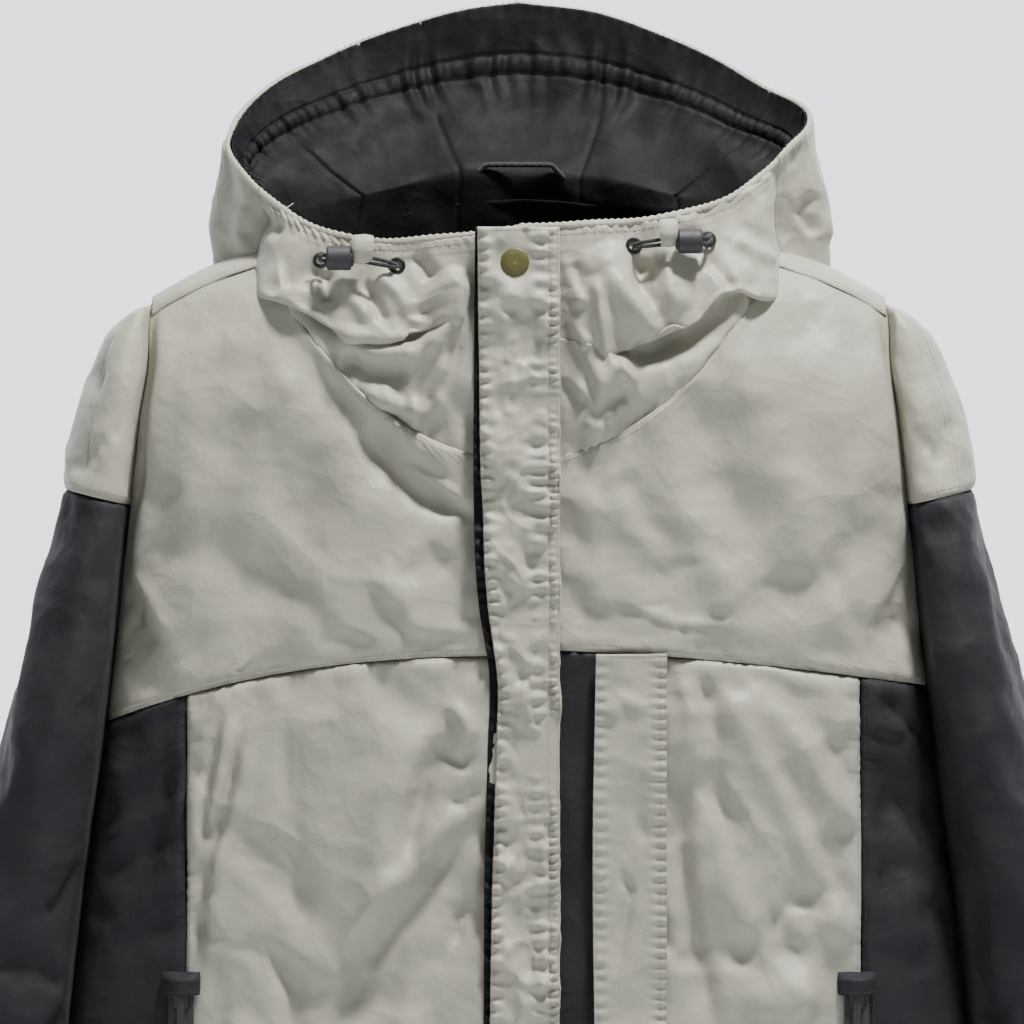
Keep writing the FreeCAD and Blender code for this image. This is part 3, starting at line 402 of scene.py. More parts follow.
def mesh_object(name, verts, faces, material):
    mesh = bpy.data.meshes.new(name)
    mesh.from_pydata([tuple(v) for v in verts], [], faces)
    mesh.update()
    for polygon in mesh.polygons:
        polygon.use_smooth = True
    if material:
        mesh.materials.append(material)
    obj = bpy.data.objects.new(name, mesh)
    bpy.context.scene.collection.objects.link(obj)
    return obj


def grid_mesh(name, points, material, thick=CLOTH, closed=False):
    """A thin cloth piece whose outer face is the grid of points, in millimetres."""
    across, along = points.shape[0], points.shape[1]
    verts = points.reshape(-1, 3) * MM
    faces = []
    for i in range(across if closed else across - 1):
        k = (i + 1) % across
        for j in range(along - 1):
            faces.append((i * along + j, i * along + j + 1, k * along + j + 1, k * along + j))
    obj = mesh_object(name, verts, faces, material)
    if thick:
        solid = obj.modifiers.new("thickness", "SOLIDIFY")
        solid.thickness = thick * MM
        solid.offset = -1
    return obj


def cloth_piece(name, points, material, body, nodes=(), thick=CLOTH, closed=False,
                bend=None):
    """Makes a cloth piece that stands for CAD nodes and rides on a body, or is left unparented in place when bend is
    given.
    """
    obj = grid_mesh(name, points, material, thick, closed)
    if bend:
        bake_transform(obj)
    else:
        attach(obj, body)
    if nodes:
        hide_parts(*nodes)
    return obj


def resample(line, step):
    """Evenly spaced places along a line of points."""
    runs = np.linalg.norm(np.diff(line, axis=0), axis=1)
    walked = np.concatenate([[0], np.cumsum(runs)])
    count = max(int(walked[-1] / step), 1)
    at = (np.arange(count) + 0.5) * walked[-1] / count
    return np.stack([np.interp(at, walked, line[:, k]) for k in range(3)], -1)


def grid_line(points, edge, inset):
    """A line on a grid, inset millimetres from one of its edges, with the outward direction along it."""
    normal = outward(points)
    if edge in "lr":
        points, normal = points.transpose(1, 0, 2), normal.transpose(1, 0, 2)
    if edge in "rb":
        points, normal = points[:, ::-1], normal[:, ::-1]
    out, up = [], []
    for row, direction in zip(points, normal):
        runs = np.concatenate([[0], np.cumsum(np.linalg.norm(np.diff(row, axis=0), axis=1))])
        at = min(inset, runs[-1])
        out.append([np.interp(at, runs, row[:, k]) for k in range(3)])
        up.append([np.interp(at, runs, direction[:, k]) for k in range(3)])
    return np.array(out), np.array(up)


def stitch_verts(line, up, length=2.3, step=3.1, wide=0.42, tall=0.3, sink=0.05):
    """Small rounded stitches along a line lying on cloth."""
    centre = resample(line, step)
    runs = np.concatenate([[0], np.cumsum(np.linalg.norm(np.diff(line, axis=0), axis=1))])
    count = len(centre)
    at = (np.arange(count) + 0.5) * runs[-1] / count
    lift = np.stack([np.interp(at, runs, up[:, k]) for k in range(3)], -1)
    ahead = np.gradient(centre, axis=0) if count > 1 else np.array([line[-1] - line[0]])
    ahead /= np.maximum(np.linalg.norm(ahead, axis=1, keepdims=True), 1e-9)
    side = np.cross(ahead, lift)
    side /= np.maximum(np.linalg.norm(side, axis=1, keepdims=True), 1e-9)
    verts, faces = [], []
    rings = ((-0.5, 0.3), (-0.3, 1.0), (0.3, 1.0), (0.5, 0.3))
    for c, a, s, n in zip(centre, ahead, side, lift):
        base = len(verts)
        for place, fat in rings:
            for cu, cv in ((-0.5, 0), (-0.25, 0.9), (0.25, 0.9), (0.5, 0)):
                verts.append(c + a * place * length + s * cu * wide * fat + n * (cv * tall * fat - sink))
        for r in range(3):
            for k in range(3):
                p = base + r * 4 + k
                faces.append((p, p + 1, p + 5, p + 4))
    return verts, faces


STITCHES = {}


def sew(body, colour, line, up, **how):
    """Adds stitches to the body's thread piece of that colour."""
    verts, faces = stitch_verts(line, up, **how)
    store = STITCHES.setdefault((body, colour), ([], []))
    base = len(store[0])
    store[0].extend(verts)
    store[1].extend(tuple(i + base for i in face) for face in faces)


def sew_edges(body, colour, points, work):
    for edge, insets in work.items():
        for inset in insets:
            line, up = grid_line(points, edge, inset)
            sew(body, colour, line, up)


# ---------------------------------------------------------------- materials

def linear(r, g, b):
    def one(v):
        v /= 255
        return v / 12.92 if v <= 0.04045 else ((v + 0.055) / 1.055) ** 2.4
    return one(r), one(g), one(b)


class Look:
    """A material under construction: a thin wrapper over its node tree."""

    def __init__(self, name):
        self.material = bpy.data.materials.new(name)
        self.material.use_nodes = True
        self.tree = self.material.node_tree
        self.shader = self.tree.nodes["Principled BSDF"]
        self.place = self.add("ShaderNodeTexCoord").outputs["Object"]

    def add(self, kind, **values):
        node = self.tree.nodes.new(kind)
        for key, value in values.items():
            if key in node.inputs:
                node.inputs[key].default_value = value
            else:
                setattr(node, key, value)
        return node

    def link(self, a, b):
        self.tree.links.new(a, b)

    def noise(self, scale, detail=4.0, rough=0.55, twist=0.0, stretch=None):
        node = self.add("ShaderNodeTexNoise", Scale=scale, Detail=detail, Roughness=rough, Distortion=twist)
        if stretch:
            turn = self.add("ShaderNodeMapping")
            turn.inputs["Scale"].default_value = stretch
            self.link(self.place, turn.inputs["Vector"])
            self.link(turn.outputs["Vector"], node.inputs["Vector"])
        else:
            self.link(self.place, node.inputs["Vector"])
        return node.outputs["Fac"]

    def facets(self, scale, warp=0.035):
        """Flat patches with sharp borders, the way nylon creases when it has been packed."""
        bend = self.add("ShaderNodeTexNoise", Scale=scale * 0.5, Detail=2.0)
        self.link(self.place, bend.inputs["Vector"])
        shift = self.add("ShaderNodeVectorMath")
        shift.operation = "MULTIPLY_ADD"
        self.link(bend.outputs["Color"], shift.inputs[0])
        shift.inputs[1].default_value = (warp, warp, warp)
        self.link(self.place, shift.inputs[2])
        node = self.add("ShaderNodeTexVoronoi", Scale=scale, Randomness=1.0)
        self.link(shift.outputs["Vector"], node.inputs["Vector"])
        return node.outputs["Distance"]

    def bands(self, period, direction, twist=0.0):
        node = self.add("ShaderNodeTexWave", Scale=2 * math.pi / (20 * period), Distortion=twist)
        node.wave_type = "BANDS"
        node.bands_direction = direction
        self.link(self.place, node.inputs["Vector"])
        return node.outputs["Fac"]

    def math(self, kind, a, b):
        node = self.add("ShaderNodeMath")
        node.operation = kind
        for socket, value in zip(node.inputs, (a, b)):
            if isinstance(value, (int, float)):
                socket.default_value = value
            else:
                self.link(value, socket)
        return node.outputs[0]

    def ramp(self, value, low, high, start=0.3, end=0.7):
        node = self.add("ShaderNodeMapRange")
        node.inputs["From Min"].default_value = start
        node.inputs["From Max"].default_value = end
        node.inputs["To Min"].default_value = low
        node.inputs["To Max"].default_value = high
        self.link(value, node.inputs["Value"])
        return node.outputs["Result"]

    def colour(self, value, dark, light, start=0.3, end=0.7):
        node = self.add("ShaderNodeMix")
        node.data_type = "RGBA"
        self.link(self.ramp(value, 0, 1, start, end), node.inputs["Factor"])
        node.inputs["A"].default_value = (*dark, 1)
        node.inputs["B"].default_value = (*light, 1)
        return node.outputs["Result"]

    def bump(self, height, strength, distance, below=None):
        node = self.add("ShaderNodeBump", Strength=strength, Distance=distance)
        self.link(height, node.inputs["Height"])
        if below is not None:
            self.link(below, node.inputs["Normal"])
        return node.outputs["Normal"]

    def done(self, base=None, rough=None, normal=None, **plain):
        for key, value in plain.items():
            self.shader.inputs[key].default_value = value
        for key, value in (("Base Color", base), ("Roughness", rough), ("Normal", normal)):
            if value is not None:
                self.link(value, self.shader.inputs[key])
        return self.material


def scaled(colour, f):
    return tuple(min(c * f, 1) for c in colour)


def nylon(name, colour, rough=(0.4, 0.55), sheen=0.12, weave=0.0007, crumple=0.3, mottle=0.06, shine=0.4):
    look = Look(name)
    cloud = look.noise(16, 5, 0.6, 0.3)
    fleck = look.noise(900, 2, 0.6)
    tone = look.math("ADD", look.math("MULTIPLY", cloud, 0.75), look.math("MULTIPLY", fleck, 0.25))
    base = look.colour(tone, scaled(colour, 1 - mottle), scaled(colour, 1 + mottle))
    threads = look.math("ADD", look.bands(weave, "X"), look.bands(weave, "Z"))
    normal = look.bump(threads, 0.18, 0.0002)
    paper = look.noise(46, 6, 0.62, 0.5)
    normal = look.bump(paper, crumple, 0.004, normal)
    folds = look.noise(130, 3, 0.5, 1.2)
    normal = look.bump(folds, crumple * 0.35, 0.0012, normal)
    normal = look.bump(look.facets(17), crumple * 1.1, 0.016, normal)
    normal = look.bump(look.facets(46), crumple * 0.8, 0.004, normal)
    return look.done(base, look.ramp(look.noise(60, 3), rough[0], rough[1]), normal,
                     **{"Sheen Weight": sheen, "Sheen Roughness": 0.4, "Specular IOR Level": shine})


def hard(name, colour, rough=(0.35, 0.5), metal=0.0, grain=220, depth=0.08, wear=None):
    look = Look(name)
    cloud = look.noise(grain, 5, 0.6)
    light = wear or scaled(colour, 1.25)
    base = look.colour(cloud, scaled(colour, 0.85), light, 0.35, 0.75)
    return look.done(base, look.ramp(look.noise(grain * 0.6, 3), rough[0], rough[1]),
                     look.bump(look.noise(grain * 4, 3), depth, 0.0003), Metallic=metal)


def woven(name, colour, period=0.0011, depth=0.6, rough=(0.7, 0.9)):
    look = Look(name)
    cross = look.math("MULTIPLY", look.bands(period, "X", 0.6), look.bands(period, "Z", 0.6))
    twill = look.bands(period * 1.7, "DIAGONAL", 0.8)
    height = look.math("ADD", cross, look.math("MULTIPLY", twill, 0.6))
    # Colour follows the weave's relief: painted shade in the hollows between threads, lighter on the raised threads,
    # plus random yarn tone from noise.
    base = look.colour(look.math("ADD", height, look.noise(500, 2)), scaled(colour, 0.72), scaled(colour, 1.25), 0.3, 1.6)
    return look.done(base, look.ramp(look.noise(80, 3), rough[0], rough[1]), look.bump(height, depth, 0.0004),
                     **{"Sheen Weight": 0.2})


STONE = linear(167, 165, 150)
CHARCOAL = linear(43, 43, 46)
BLACK = linear(21, 21, 23)

stone_nylon = nylon("grey_nylon", STONE)
charcoal_nylon = nylon("charcoal_nylon", CHARCOAL, rough=(0.52, 0.66), sheen=0.02, crumple=0.3, mottle=0.12, shine=0.12)
taffeta = nylon("lining_taffeta", BLACK, rough=(0.58, 0.72), sheen=0.02, crumple=0.25, mottle=0.18, shine=0.12)
thread_grey = woven("thread_grey", linear(134, 132, 123), 0.0005)
thread_dark = woven("thread_dark", linear(38, 38, 40), 0.0005)
enamel = hard("snap_enamel", linear(84, 81, 38), (0.45, 0.6), 0.0, 260, 0.12, linear(94, 91, 46))
steel = hard("snap_steel", linear(150, 150, 150), (0.25, 0.4), 1.0, 300)
lock_plastic = hard("lock_plastic", linear(42, 42, 45), (0.5, 0.65), 0.0, 420, 0.2)
eyelet_metal = hard("eyelet_metal", linear(52, 52, 54), (0.3, 0.45), 0.7, 300)
cord_look = woven("elastic_cord", linear(26, 26, 28), 0.0009, 0.8)
webbing = woven("webbing", linear(34, 34, 36), 0.0014, 0.8)
label_cloth = woven("label_cloth", linear(40, 40, 42), 0.0008, 0.5)
hook_loop = woven("hook_and_loop", linear(96, 96, 92), 0.0013, 1.0)
zip_metal = hard("zip_metal", linear(70, 70, 72), (0.3, 0.45), 0.8, 300)
pull_plastic = hard("pull_plastic", linear(40, 40, 42), (0.45, 0.6), 0.0, 420)
zip_tape = woven("zip_tape", linear(44, 44, 46), 0.0009, 0.6)
coil_plastic = hard("coil_plastic", linear(48, 48, 50), (0.4, 0.55), 0.0, 600)

FINISHES = {
    "snap_caps": enamel, "snap_sockets": steel, "snap_studs": steel, "flap_hook_pads": hook_loop,
    "flap_loop_pads": hook_loop, "main_zip_tapes": zip_tape, "main_zip_coils": coil_plastic,
    "main_zip_slider": zip_metal, "main_zip_pull": pull_plastic, "main_zip_bottom_box": zip_metal,
    "chest_zip_chain": zip_tape, "chest_zip_slider": zip_metal, "chest_zip_pull": pull_plastic,
    "hand_zip_left_chain": zip_tape, "hand_zip_left_slider": zip_metal, "hand_zip_left_pull": pull_plastic,
    "hand_zip_right_chain": zip_tape, "hand_zip_right_slider": zip_metal, "hand_zip_right_pull": pull_plastic,
    "cord_lock_barrels": lock_plastic, "cord_lock_button_left": lock_plastic,
    "cord_lock_button_right": lock_plastic, "cord_lock_spring_left": steel, "cord_lock_spring_right": steel,
    "hood_eyelets": eyelet_metal, "hood_drawcords": cord_look, "hanger_loop": webbing, "neck_label": label_cloth,
}
for node, material in FINISHES.items():
    obj = NODES[node]
    if not obj.data.materials:
        obj.data.materials.append(material)
    for place in obj.material_slots:
        place.material = material

# ---------------------------------------------------------------- torso

FINE = 3.2  # grid spacing of the torso cloth


def signed_front(left, right, low, high, step=FINE, gap=0.3):
    """A grid on the torso front between two x edges and two heights, all functions."""
    wide = float(right(-400) - left(-400))
    tall = float(np.max(high(np.array([left(-400), right(-400), 0.5 * (left(-400) + right(-400))])))
                 - low(np.array(0.0)))
    u, v = grid_of(max(int(wide / step), 4), max(int(tall / step), 6))
    z = mix(high(0 * u), low(0 * u), v)
    for _ in range(5):
        angle = mix(angle_at(left(z), z), angle_at(right(z), z), u)
        x = torso(angle, z)[..., 0]
        z = mix(high(x) - gap, low(x) + gap, v)
    return torso(angle, z)


def hem(x):
    return HEM_Z + 0 * x


def arm_edge(z):
    """Where the torso's front and back cloth end beside the sleeve."""
    return through([(-1000, 311), (-770, 311), (-560, 297), (-400, 277), (-330, 268.5), (-251, 260), (-170, 250),
                    (-145, 246), (-102, 244), (-80, 240)], z)


def at_x(value):
    return lambda z: value + 0 * np.asarray(z, float)


def torso_cloth(name, points, edges, seed, material, nodes, stitched, colour, body="shell", folds=FRONT_FOLDS,
                excess=0.022, calm=None, pleats=None, deep=4.5):
    amount = torso_wrinkles(points, 3.0) + edge_work(points, edges, seed)
    if pleats:
        amount += gathers(points, *pleats)
    amount += FOLD_DEPTH * strokes(points[..., 0], points[..., 2], folds)
    if calm is not None:
        amount *= calm(points)
    shaped = raised(points, amount)
    if excess:
        moved = settle(points, excess, seed, cap=deep)
        shaped = shaped + (moved if calm is None else moved * calm(points)[..., None])
    obj = cloth_piece(name, shaped, material, body, nodes)
    sew_edges(body, colour, shaped, stitched)
    return obj, shaped


def gathers(points, low, middle, reach):
    """Vertical pleats that run up from a seam, strongest about one x."""
    x, z = points[..., 0], points[..., 2]
    up = z - low(x)
    wave = np.sin(2 * math.pi * x / 9.5 + 1.5 * np.sin(x / 23)) * (0.55 + 0.45 * np.sin(x / 7.3 + 1))
    long = reach * (0.6 + 0.4 * np.sin(x / 5.1))
    return 0.8 * wave * np.exp(-(up / long) ** 2) * np.exp(-((x - middle) / 52) ** 2)


def beside_arm(points):
    """1 over the chest, less where the torso lies against the sleeve."""
    gap = arm_edge(points[..., 2]) - np.abs(points[..., 0])
    return mix(0.3, 1.0, smooth(gap / 14))


def yoke_calm(points):
    """Less depth beside the arms, along the shoulder line and at the corners of the neck."""
    out = np.abs(points[..., 0])
    corner = np.hypot(out - NECK_HALF, 0.45 * (points[..., 2] + 74))
    shoulder = mix(1.0, smooth((shoulder_line(out) - points[..., 2] - 4) / 22), smooth((out - 150) / 20))
    return beside_arm(points) * smooth((corner - 8) / 26) * shoulder


def zip_calm(points):
    """Flatter cloth where a zip's slider and pull move over it."""
    out, z = np.abs(points[..., 0]), points[..., 2]
    hand = smooth((out - 184) / 16) * smooth((-505 - z) / 30)
    chest = smooth((98 - out) / 16) * smooth((out - 40) / 10) * (points[..., 0] > 0)
    return 1 - 0.88 * hand - 0.75 * chest


yoke_right = signed_front(lambda z: -arm_edge(z), at_x(5.4), yoke_seam, yoke_top)
torso_cloth("front_yoke_right_cloth", yoke_right, "tb", 1.0, stone_nylon, ["front_yoke_right"],
            {"b": (2.2, 5.2), "t": (2.0, 5.0)}, thread_grey, excess=0.010, calm=yoke_calm,
            pleats=(yoke_seam, -150, 34))
yoke_left = signed_front(at_x(22.6), arm_edge, yoke_seam, yoke_top)
torso_cloth("front_yoke_left_cloth", yoke_left, "tb", 2.0, stone_nylon, ["front_yoke_left"],
            {"b": (2.2, 5.2), "t": (2.0, 5.0)}, thread_grey, excess=0.010, calm=yoke_calm,
            pleats=(yoke_seam, 110, 24))

panel_right = signed_front(at_x(-217), at_x(5.4), hem, yoke_seam)
torso_cloth("front_panel_right_cloth", panel_right, "tlb", 3.0, stone_nylon, ["front_panel_right"],
            {"l": (2.2,), "b": (18.0, 21.0)}, thread_grey, calm=zip_calm)
panel_left = signed_front(at_x(70.6), at_x(223), hem, yoke_seam)
torso_cloth("front_panel_left_cloth", panel_left, "trb", 4.0, stone_nylon, ["front_panel_left"],
            {"r": (2.2,), "b": (18.0, 21.0)}, thread_grey, calm=zip_calm)
strip = signed_front(at_x(54.6), at_x(69.4), hem, lambda x: -550.0 + 0 * x)
torso_cloth("pocket_strip_cloth", strip, "tb", 4.4, stone_nylon, [], {"b": (18.0, 21.0)}, thread_grey,
            excess=0)
facing = signed_front(at_x(22.6), at_x(53.4), hem, yoke_seam)
torso_cloth("pocket_facing_cloth", facing, "trb", 5.0, charcoal_nylon, ["pocket_facing"],
            {"r": (2.2,), "b": (18.0, 21.0)}, thread_dark, excess=0, calm=lambda points: 0.3)


def wrap_grid(start, end, top, low, across, along, gap=0.3):
    """A torso grid between two angles (functions of z), turning towards the back."""
    u, v = grid_of(across, along)
    z = mix(-350.0 + 0 * u, HEM_Z, v)
    for _ in range(6):
        angle = mix(start(z), end(z), u)
        x = torso(angle, z)[..., 0]
        z = mix(top(x, angle) - gap, low(x) + gap, v)
    return torso(angle, z)


def side_top(sign):
    def top(x, angle):
        under = smooth((18 - np.abs(90 - np.abs(angle))) / 14)
        front = yoke_seam(sign * np.abs(x))
        start = np.where(np.abs(angle) <= 90, front, back_seam(x))
        return mix(start, -374.0, under)
    return top


def side_calm(points):
    return beside_arm(points) * zip_calm(points)


side_left = wrap_grid(lambda z: angle_at(223.8 + 0 * z, z), lambda z: 180 - angle_at(207.8 + 0 * z, z),
                      side_top(1), hem, 56, 130)
torso_cloth("side_panel_left_cloth", side_left, "lrtb", 6.0, charcoal_nylon, ["side_panel_left"],
            {"l": (2.2,), "b": (18.0, 21.0)}, thread_dark, calm=side_calm)
side_right = wrap_grid(lambda z: -180 + angle_at(207.8 + 0 * z, z), lambda z: -angle_at(217.8 + 0 * z, z),
                       side_top(-1), hem, 56, 130)
torso_cloth("side_panel_right_cloth", side_right, "lrtb", 7.0, charcoal_nylon, ["side_panel_right"],
            {"r": (2.2,), "b": (18.0, 21.0)}, thread_dark, calm=side_calm)

BACK_FOLDS = [
    (3.0, 14, 10, [(-180, -120), (-196, -190), (-190, -270)]),
    (3.0, 10, 14, [(180, -120), (196, -190), (190, -270)]),
    (2.6, 16, 12, [(-40, -150), (-70, -220), (-120, -280)]),
    (2.6, 12, 16, [(50, -160), (84, -230), (110, -290)]),
    (3.0, 18, 14, [(-130, -340), (-100, -460), (-120, -600), (-100, -740)]),
    (3.2, 18, 14, [(0, -330), (30, -450), (10, -600), (40, -740)]),
    (3.0, 14, 18, [(140, -340), (110, -470), (130, -610), (120, -740)]),
    (2.4, 12, 12, [(-190, -420), (-150, -470), (-80, -500)]),
    (2.4, 12, 12, [(190, -400), (140, -450), (70, -520)]),
]


def back_grid(half, low, high, across, along):
    u, v = grid_of(across, along)
    z = mix(high(0 * u), low(0 * u), v)
    for _ in range(5):
        edge = angle_at(half(z), z)
        angle = mix(180 - edge, 180 + edge, u)
        x = torso(angle, z)[..., 0]
        z = mix(high(x) - 0.3, low(x) + 0.3, v)
    return torso(angle, z)


back_yoke = back_grid(arm_edge, back_seam, back_top, 150, 80)
torso_cloth("back_yoke_cloth", back_yoke, "tb", 8.0, stone_nylon, ["back_yoke"],
            {"b": (2.2, 5.2)}, thread_grey, folds=BACK_FOLDS, calm=yoke_calm)
back_panel = back_grid(at_x(207.0), hem, back_seam, 120, 130)
torso_cloth("back_panel_cloth", back_panel, "lrtb", 9.0, stone_nylon, ["back_panel"],
            {"b": (18.0, 21.0)}, thread_grey, folds=BACK_FOLDS)


def shoulder_piece(word, side):
    """The strip over the shoulder that joins the back yoke to the front one, forward of the ridge."""
    drops = [13.0, 9.0, 5.5, 3.0, 1.4, 0.6]
    x = np.linspace(NECK_HALF - 3, float(arm_edge(-96.0)), 46)
    ridge = shoulder_line(x)
    rows = []
    for sign, order in ((1, drops), (-1, drops[::-1])):
        for drop in order:
            z = ridge - drop
            angle = angle_at(x, z)
            y = torso(180 - angle if sign > 0 else angle, z)[..., 1]
            rows.append(np.stack([side * x, y + sign * 0.9, z + 0.9], -1))
    middle = [mix(rows[5], rows[6], f) + np.array([0.0, 0.0, 1.6 * math.sin(math.pi * f)]) for f in (0.25, 0.5, 0.75)]
    points = np.stack(rows[:6] + middle + rows[6:], 1)
    points = points if side > 0 else points[::-1]
    count = 48
    dense = np.stack([resample_row(row, count) for row in points])
    shaped = raised(dense, 0.5 * field(dense, 24, 160 + side) + edge_work(dense, "b", 3.0, 0.3, 6.0, 4, 0.3))
    cloth_piece("shoulder_%s_cloth" % word, shaped, stone_nylon, "shell")
    sew_edges("shell", thread_grey, shaped, {"b": (1.6, 4.8)})


def resample_row(row, count):
    walked = np.concatenate([[0], np.cumsum(np.linalg.norm(np.diff(row, axis=0), axis=1))])
    at = np.linspace(0, walked[-1], count)
    return np.stack([np.interp(at, walked, row[:, k]) for k in range(3)], -1)


shoulder_piece("right", -1)
shoulder_piece("left", 1)


def lining_piece(name, points, nodes, seed=20.0):
    amount = 1.2 * field(points, 55, seed, (1, 1, 0.5)) + 0.8 * ridges(points, 40, seed + 1) - 0.8
    shrunk = points * np.array([0.955, 0.8, 1.0]) + np.array([0.0, 0.2 * MID_Y, 0.0])
    shrunk[..., 2] -= 9 * smooth((points[..., 2] + 210) / 90)
    return cloth_piece(name, raised(shrunk, amount), taffeta, "shell", nodes,
                       thick=LINING_CLOTH)


def lining_top(x):
    return yoke_top(x) - 6


lining_right = signed_front(lambda z: -arm_edge(z) * 0.985, at_x(2.0), lambda x: hem(x) + 14, lining_top, 7)
lining_left = signed_front(at_x(26.0), lambda z: arm_edge(z) * 0.985, lambda x: hem(x) + 14, lining_top, 7)
lining_piece("body_lining_right_cloth", lining_right, ["body_lining_front"])
lining_piece("body_lining_left_cloth", lining_left, [], seed=22.0)
lining_back = back_grid(lambda z: arm_edge(z) * 0.985, lambda x: hem(x) + 14, lambda x: back_top(x) - 1, 84, 100)
lining_piece("body_lining_back_cloth", lining_back, ["body_lining_back"], seed=24.0)

# ---------------------------------------------------------------- storm flap and pocket fly

def flap_left(z):
    return through([(-764, -24), (-680, -21), (-568, -19), (-480, -17.5), (-395, -15), (-338, -14.5), (-300, -20),
                    (-241, -23.4), (-211, -24.7), (-150, -26), (-51, -27)], z)


u, v = grid_of(44, 500)
flap_z = mix(-50.0, -762.0, v)
flap_x = mix(flap_left(flap_z), 26.5, u)
flat_flap = np.stack([mix(-27.0, 26.5, u), -123.4 + 0 * u, flap_z], -1)
free = (1 - smooth(u / 0.75))
flap_base = np.stack([flap_x, -123.4 - 3.6 * free * (1 + 0.4 * np.sin(flap_z / 47)) - 1.2 * np.sin(math.pi * u), flap_z], -1)
run = -flap_z
between = np.exp(-((flap_x - 22.6) / 3.0) ** 2)
wander = 1.4 * np.sin(run / 37) + 0.9 * np.sin(run / 11.3)
gather = np.sin(2 * math.pi * run / 5.2 + wander)
amount = 1.2 * between * gather * (0.7 + 0.3 * np.sin(run / 17))
amount += -0.9 * np.exp(-((flap_x - 19.6) / 0.8) ** 2) - 0.9 * np.exp(-((flap_x - 25.6) / 0.8) ** 2)
amount += 0.9 * np.exp(-((flap_x - 14) / 7) ** 2) * np.sin(2 * math.pi * run / 11 + 2 * wander)
left_gap = flap_x - flap_left(flap_z)
amount += 0.7 * np.exp(-((left_gap - 3) / 5) ** 2) * np.sin(2 * math.pi * run / 8.5 + wander * 1.3)
amount += 1.7 * field(flat_flap, 32, 31, (0.8, 1, 1)) + 1.0 * field(flat_flap, 15, 32) + 0.8 * ridges(flat_flap, 30, 33)
amount += 0.35 * field(flat_flap, 7, 34)
amount -= 0.8 * np.exp(-(left_gap / 1.0) ** 2)
caps_low, caps_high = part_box("snap_caps")
cap_x = 500 * (caps_low[0] + caps_high[0])
cap_z = 1000 * caps_high[2] - 9
seat = np.exp(-((np.hypot(flap_x - cap_x, flap_z - cap_z) / 15) ** 4))
flap_base[..., 1] = mix(flap_base[..., 1], -123.4, seat)
flap_fold = settle(flat_flap, 0.03, 35, cell=5.0, cap=4.0) * (smooth(u / 0.1) * (1 - seat))[..., None]
flap = raised(flap_base, 1.8 * amount * (1 - seat)) + flap_fold
flap[..., 1] = -122.9 - 1.1 * np.log1p(np.exp((-123.6 - flap[..., 1]) / 1.1))
cloth_piece("storm_flap_cloth", flap, stone_nylon, "storm_flap", ["storm_flap"], thick=1.2)
# A strip of black lining that shows left of the flap's free edge: partly the flap's dark underside, partly a painted
# shadow standing in for the shade in the gap under the lifted edge.
u, v = grid_of(12, 500)
peek = through([(-764, 3), (-560, 4), (-420, 5.5), (-330, 5), (-260, 6), (-200, 4.5), (-140, 3), (-50, 1.4)], flap_z[0])
under_x = mix(flap_left(flap_z[0]) - peek, flap_left(flap_z[0]) + 7.5, u)
under_y = np.minimum(flap[0, :, 1] + 2.6, -122.0)
under = np.stack([under_x, under_y + 1.4 * u, flap_z[0] + 0 * u], -1)
cloth_piece("storm_flap_lining_and_painted_shadow_cloth", raised(under, 0.25 * field(under, 14, 36)), taffeta, "storm_flap",
            thick=LINING_CLOTH)
sew_edges("storm_flap", thread_grey, flap, {"l": (3.0,), "r": (1.2, 7.0), "t": (2.5,)})

u, v = grid_of(36, 300)
fly_z = mix(-327.2, -764.0, v)
fly_x = mix(49.0 + 1.2 * np.sin(fly_z / 60), 96.0, u)
flat_fly = np.stack([mix(48.5, 96.0, u), -123.0 + 0 * u, fly_z], -1)
fly_free = 1 - smooth(u / 0.5)
fly_base = np.stack([fly_x, -122.8 - 1.0 * fly_free * (1 + 0.6 * np.sin(fly_z / 39)) - 0.8 * np.sin(math.pi * u), fly_z], -1)
run = -fly_z
gather = np.sin(2 * math.pi * run / 7.0 + 1.3 * np.sin(run / 29))
amount = 0.8 * np.exp(-((fly_x - 92.5) / 6.0) ** 2) * gather
amount += 0.6 * np.exp(-((fly_x - 53) / 5.0) ** 2) * np.sin(2 * math.pi * run / 8.2 + np.sin(run / 19))
amount += 1.6 * field(flat_fly, 38, 41, (1, 1, 0.8)) + 0.8 * field(flat_fly, 18, 42) + 0.25 * field(flat_fly, 9, 43)
amount += 1.6 * strokes(fly_x, fly_z, [(-2.0, 3, 5, [(64, -463), (73, -481), (67, -515), (61, -540)]),
                                       (1.6, 5, 6, [(54, -372), (66, -356), (86, -364)]),
                                       (-1.6, 6, 5, [(82, -400), (76, -432), (84, -452)])])
fly = raised(fly_base, amount)
cloth_piece("chest_fly_cloth", fly, stone_nylon, "chest_fly", ["chest_pocket_fly"], thick=1.0)
sew_edges("chest_fly", thread_grey, fly, {"l": (2.4,), "r": (0.8, 4.0), "t": (2.0,)})

# ---------------------------------------------------------------- collar and hood

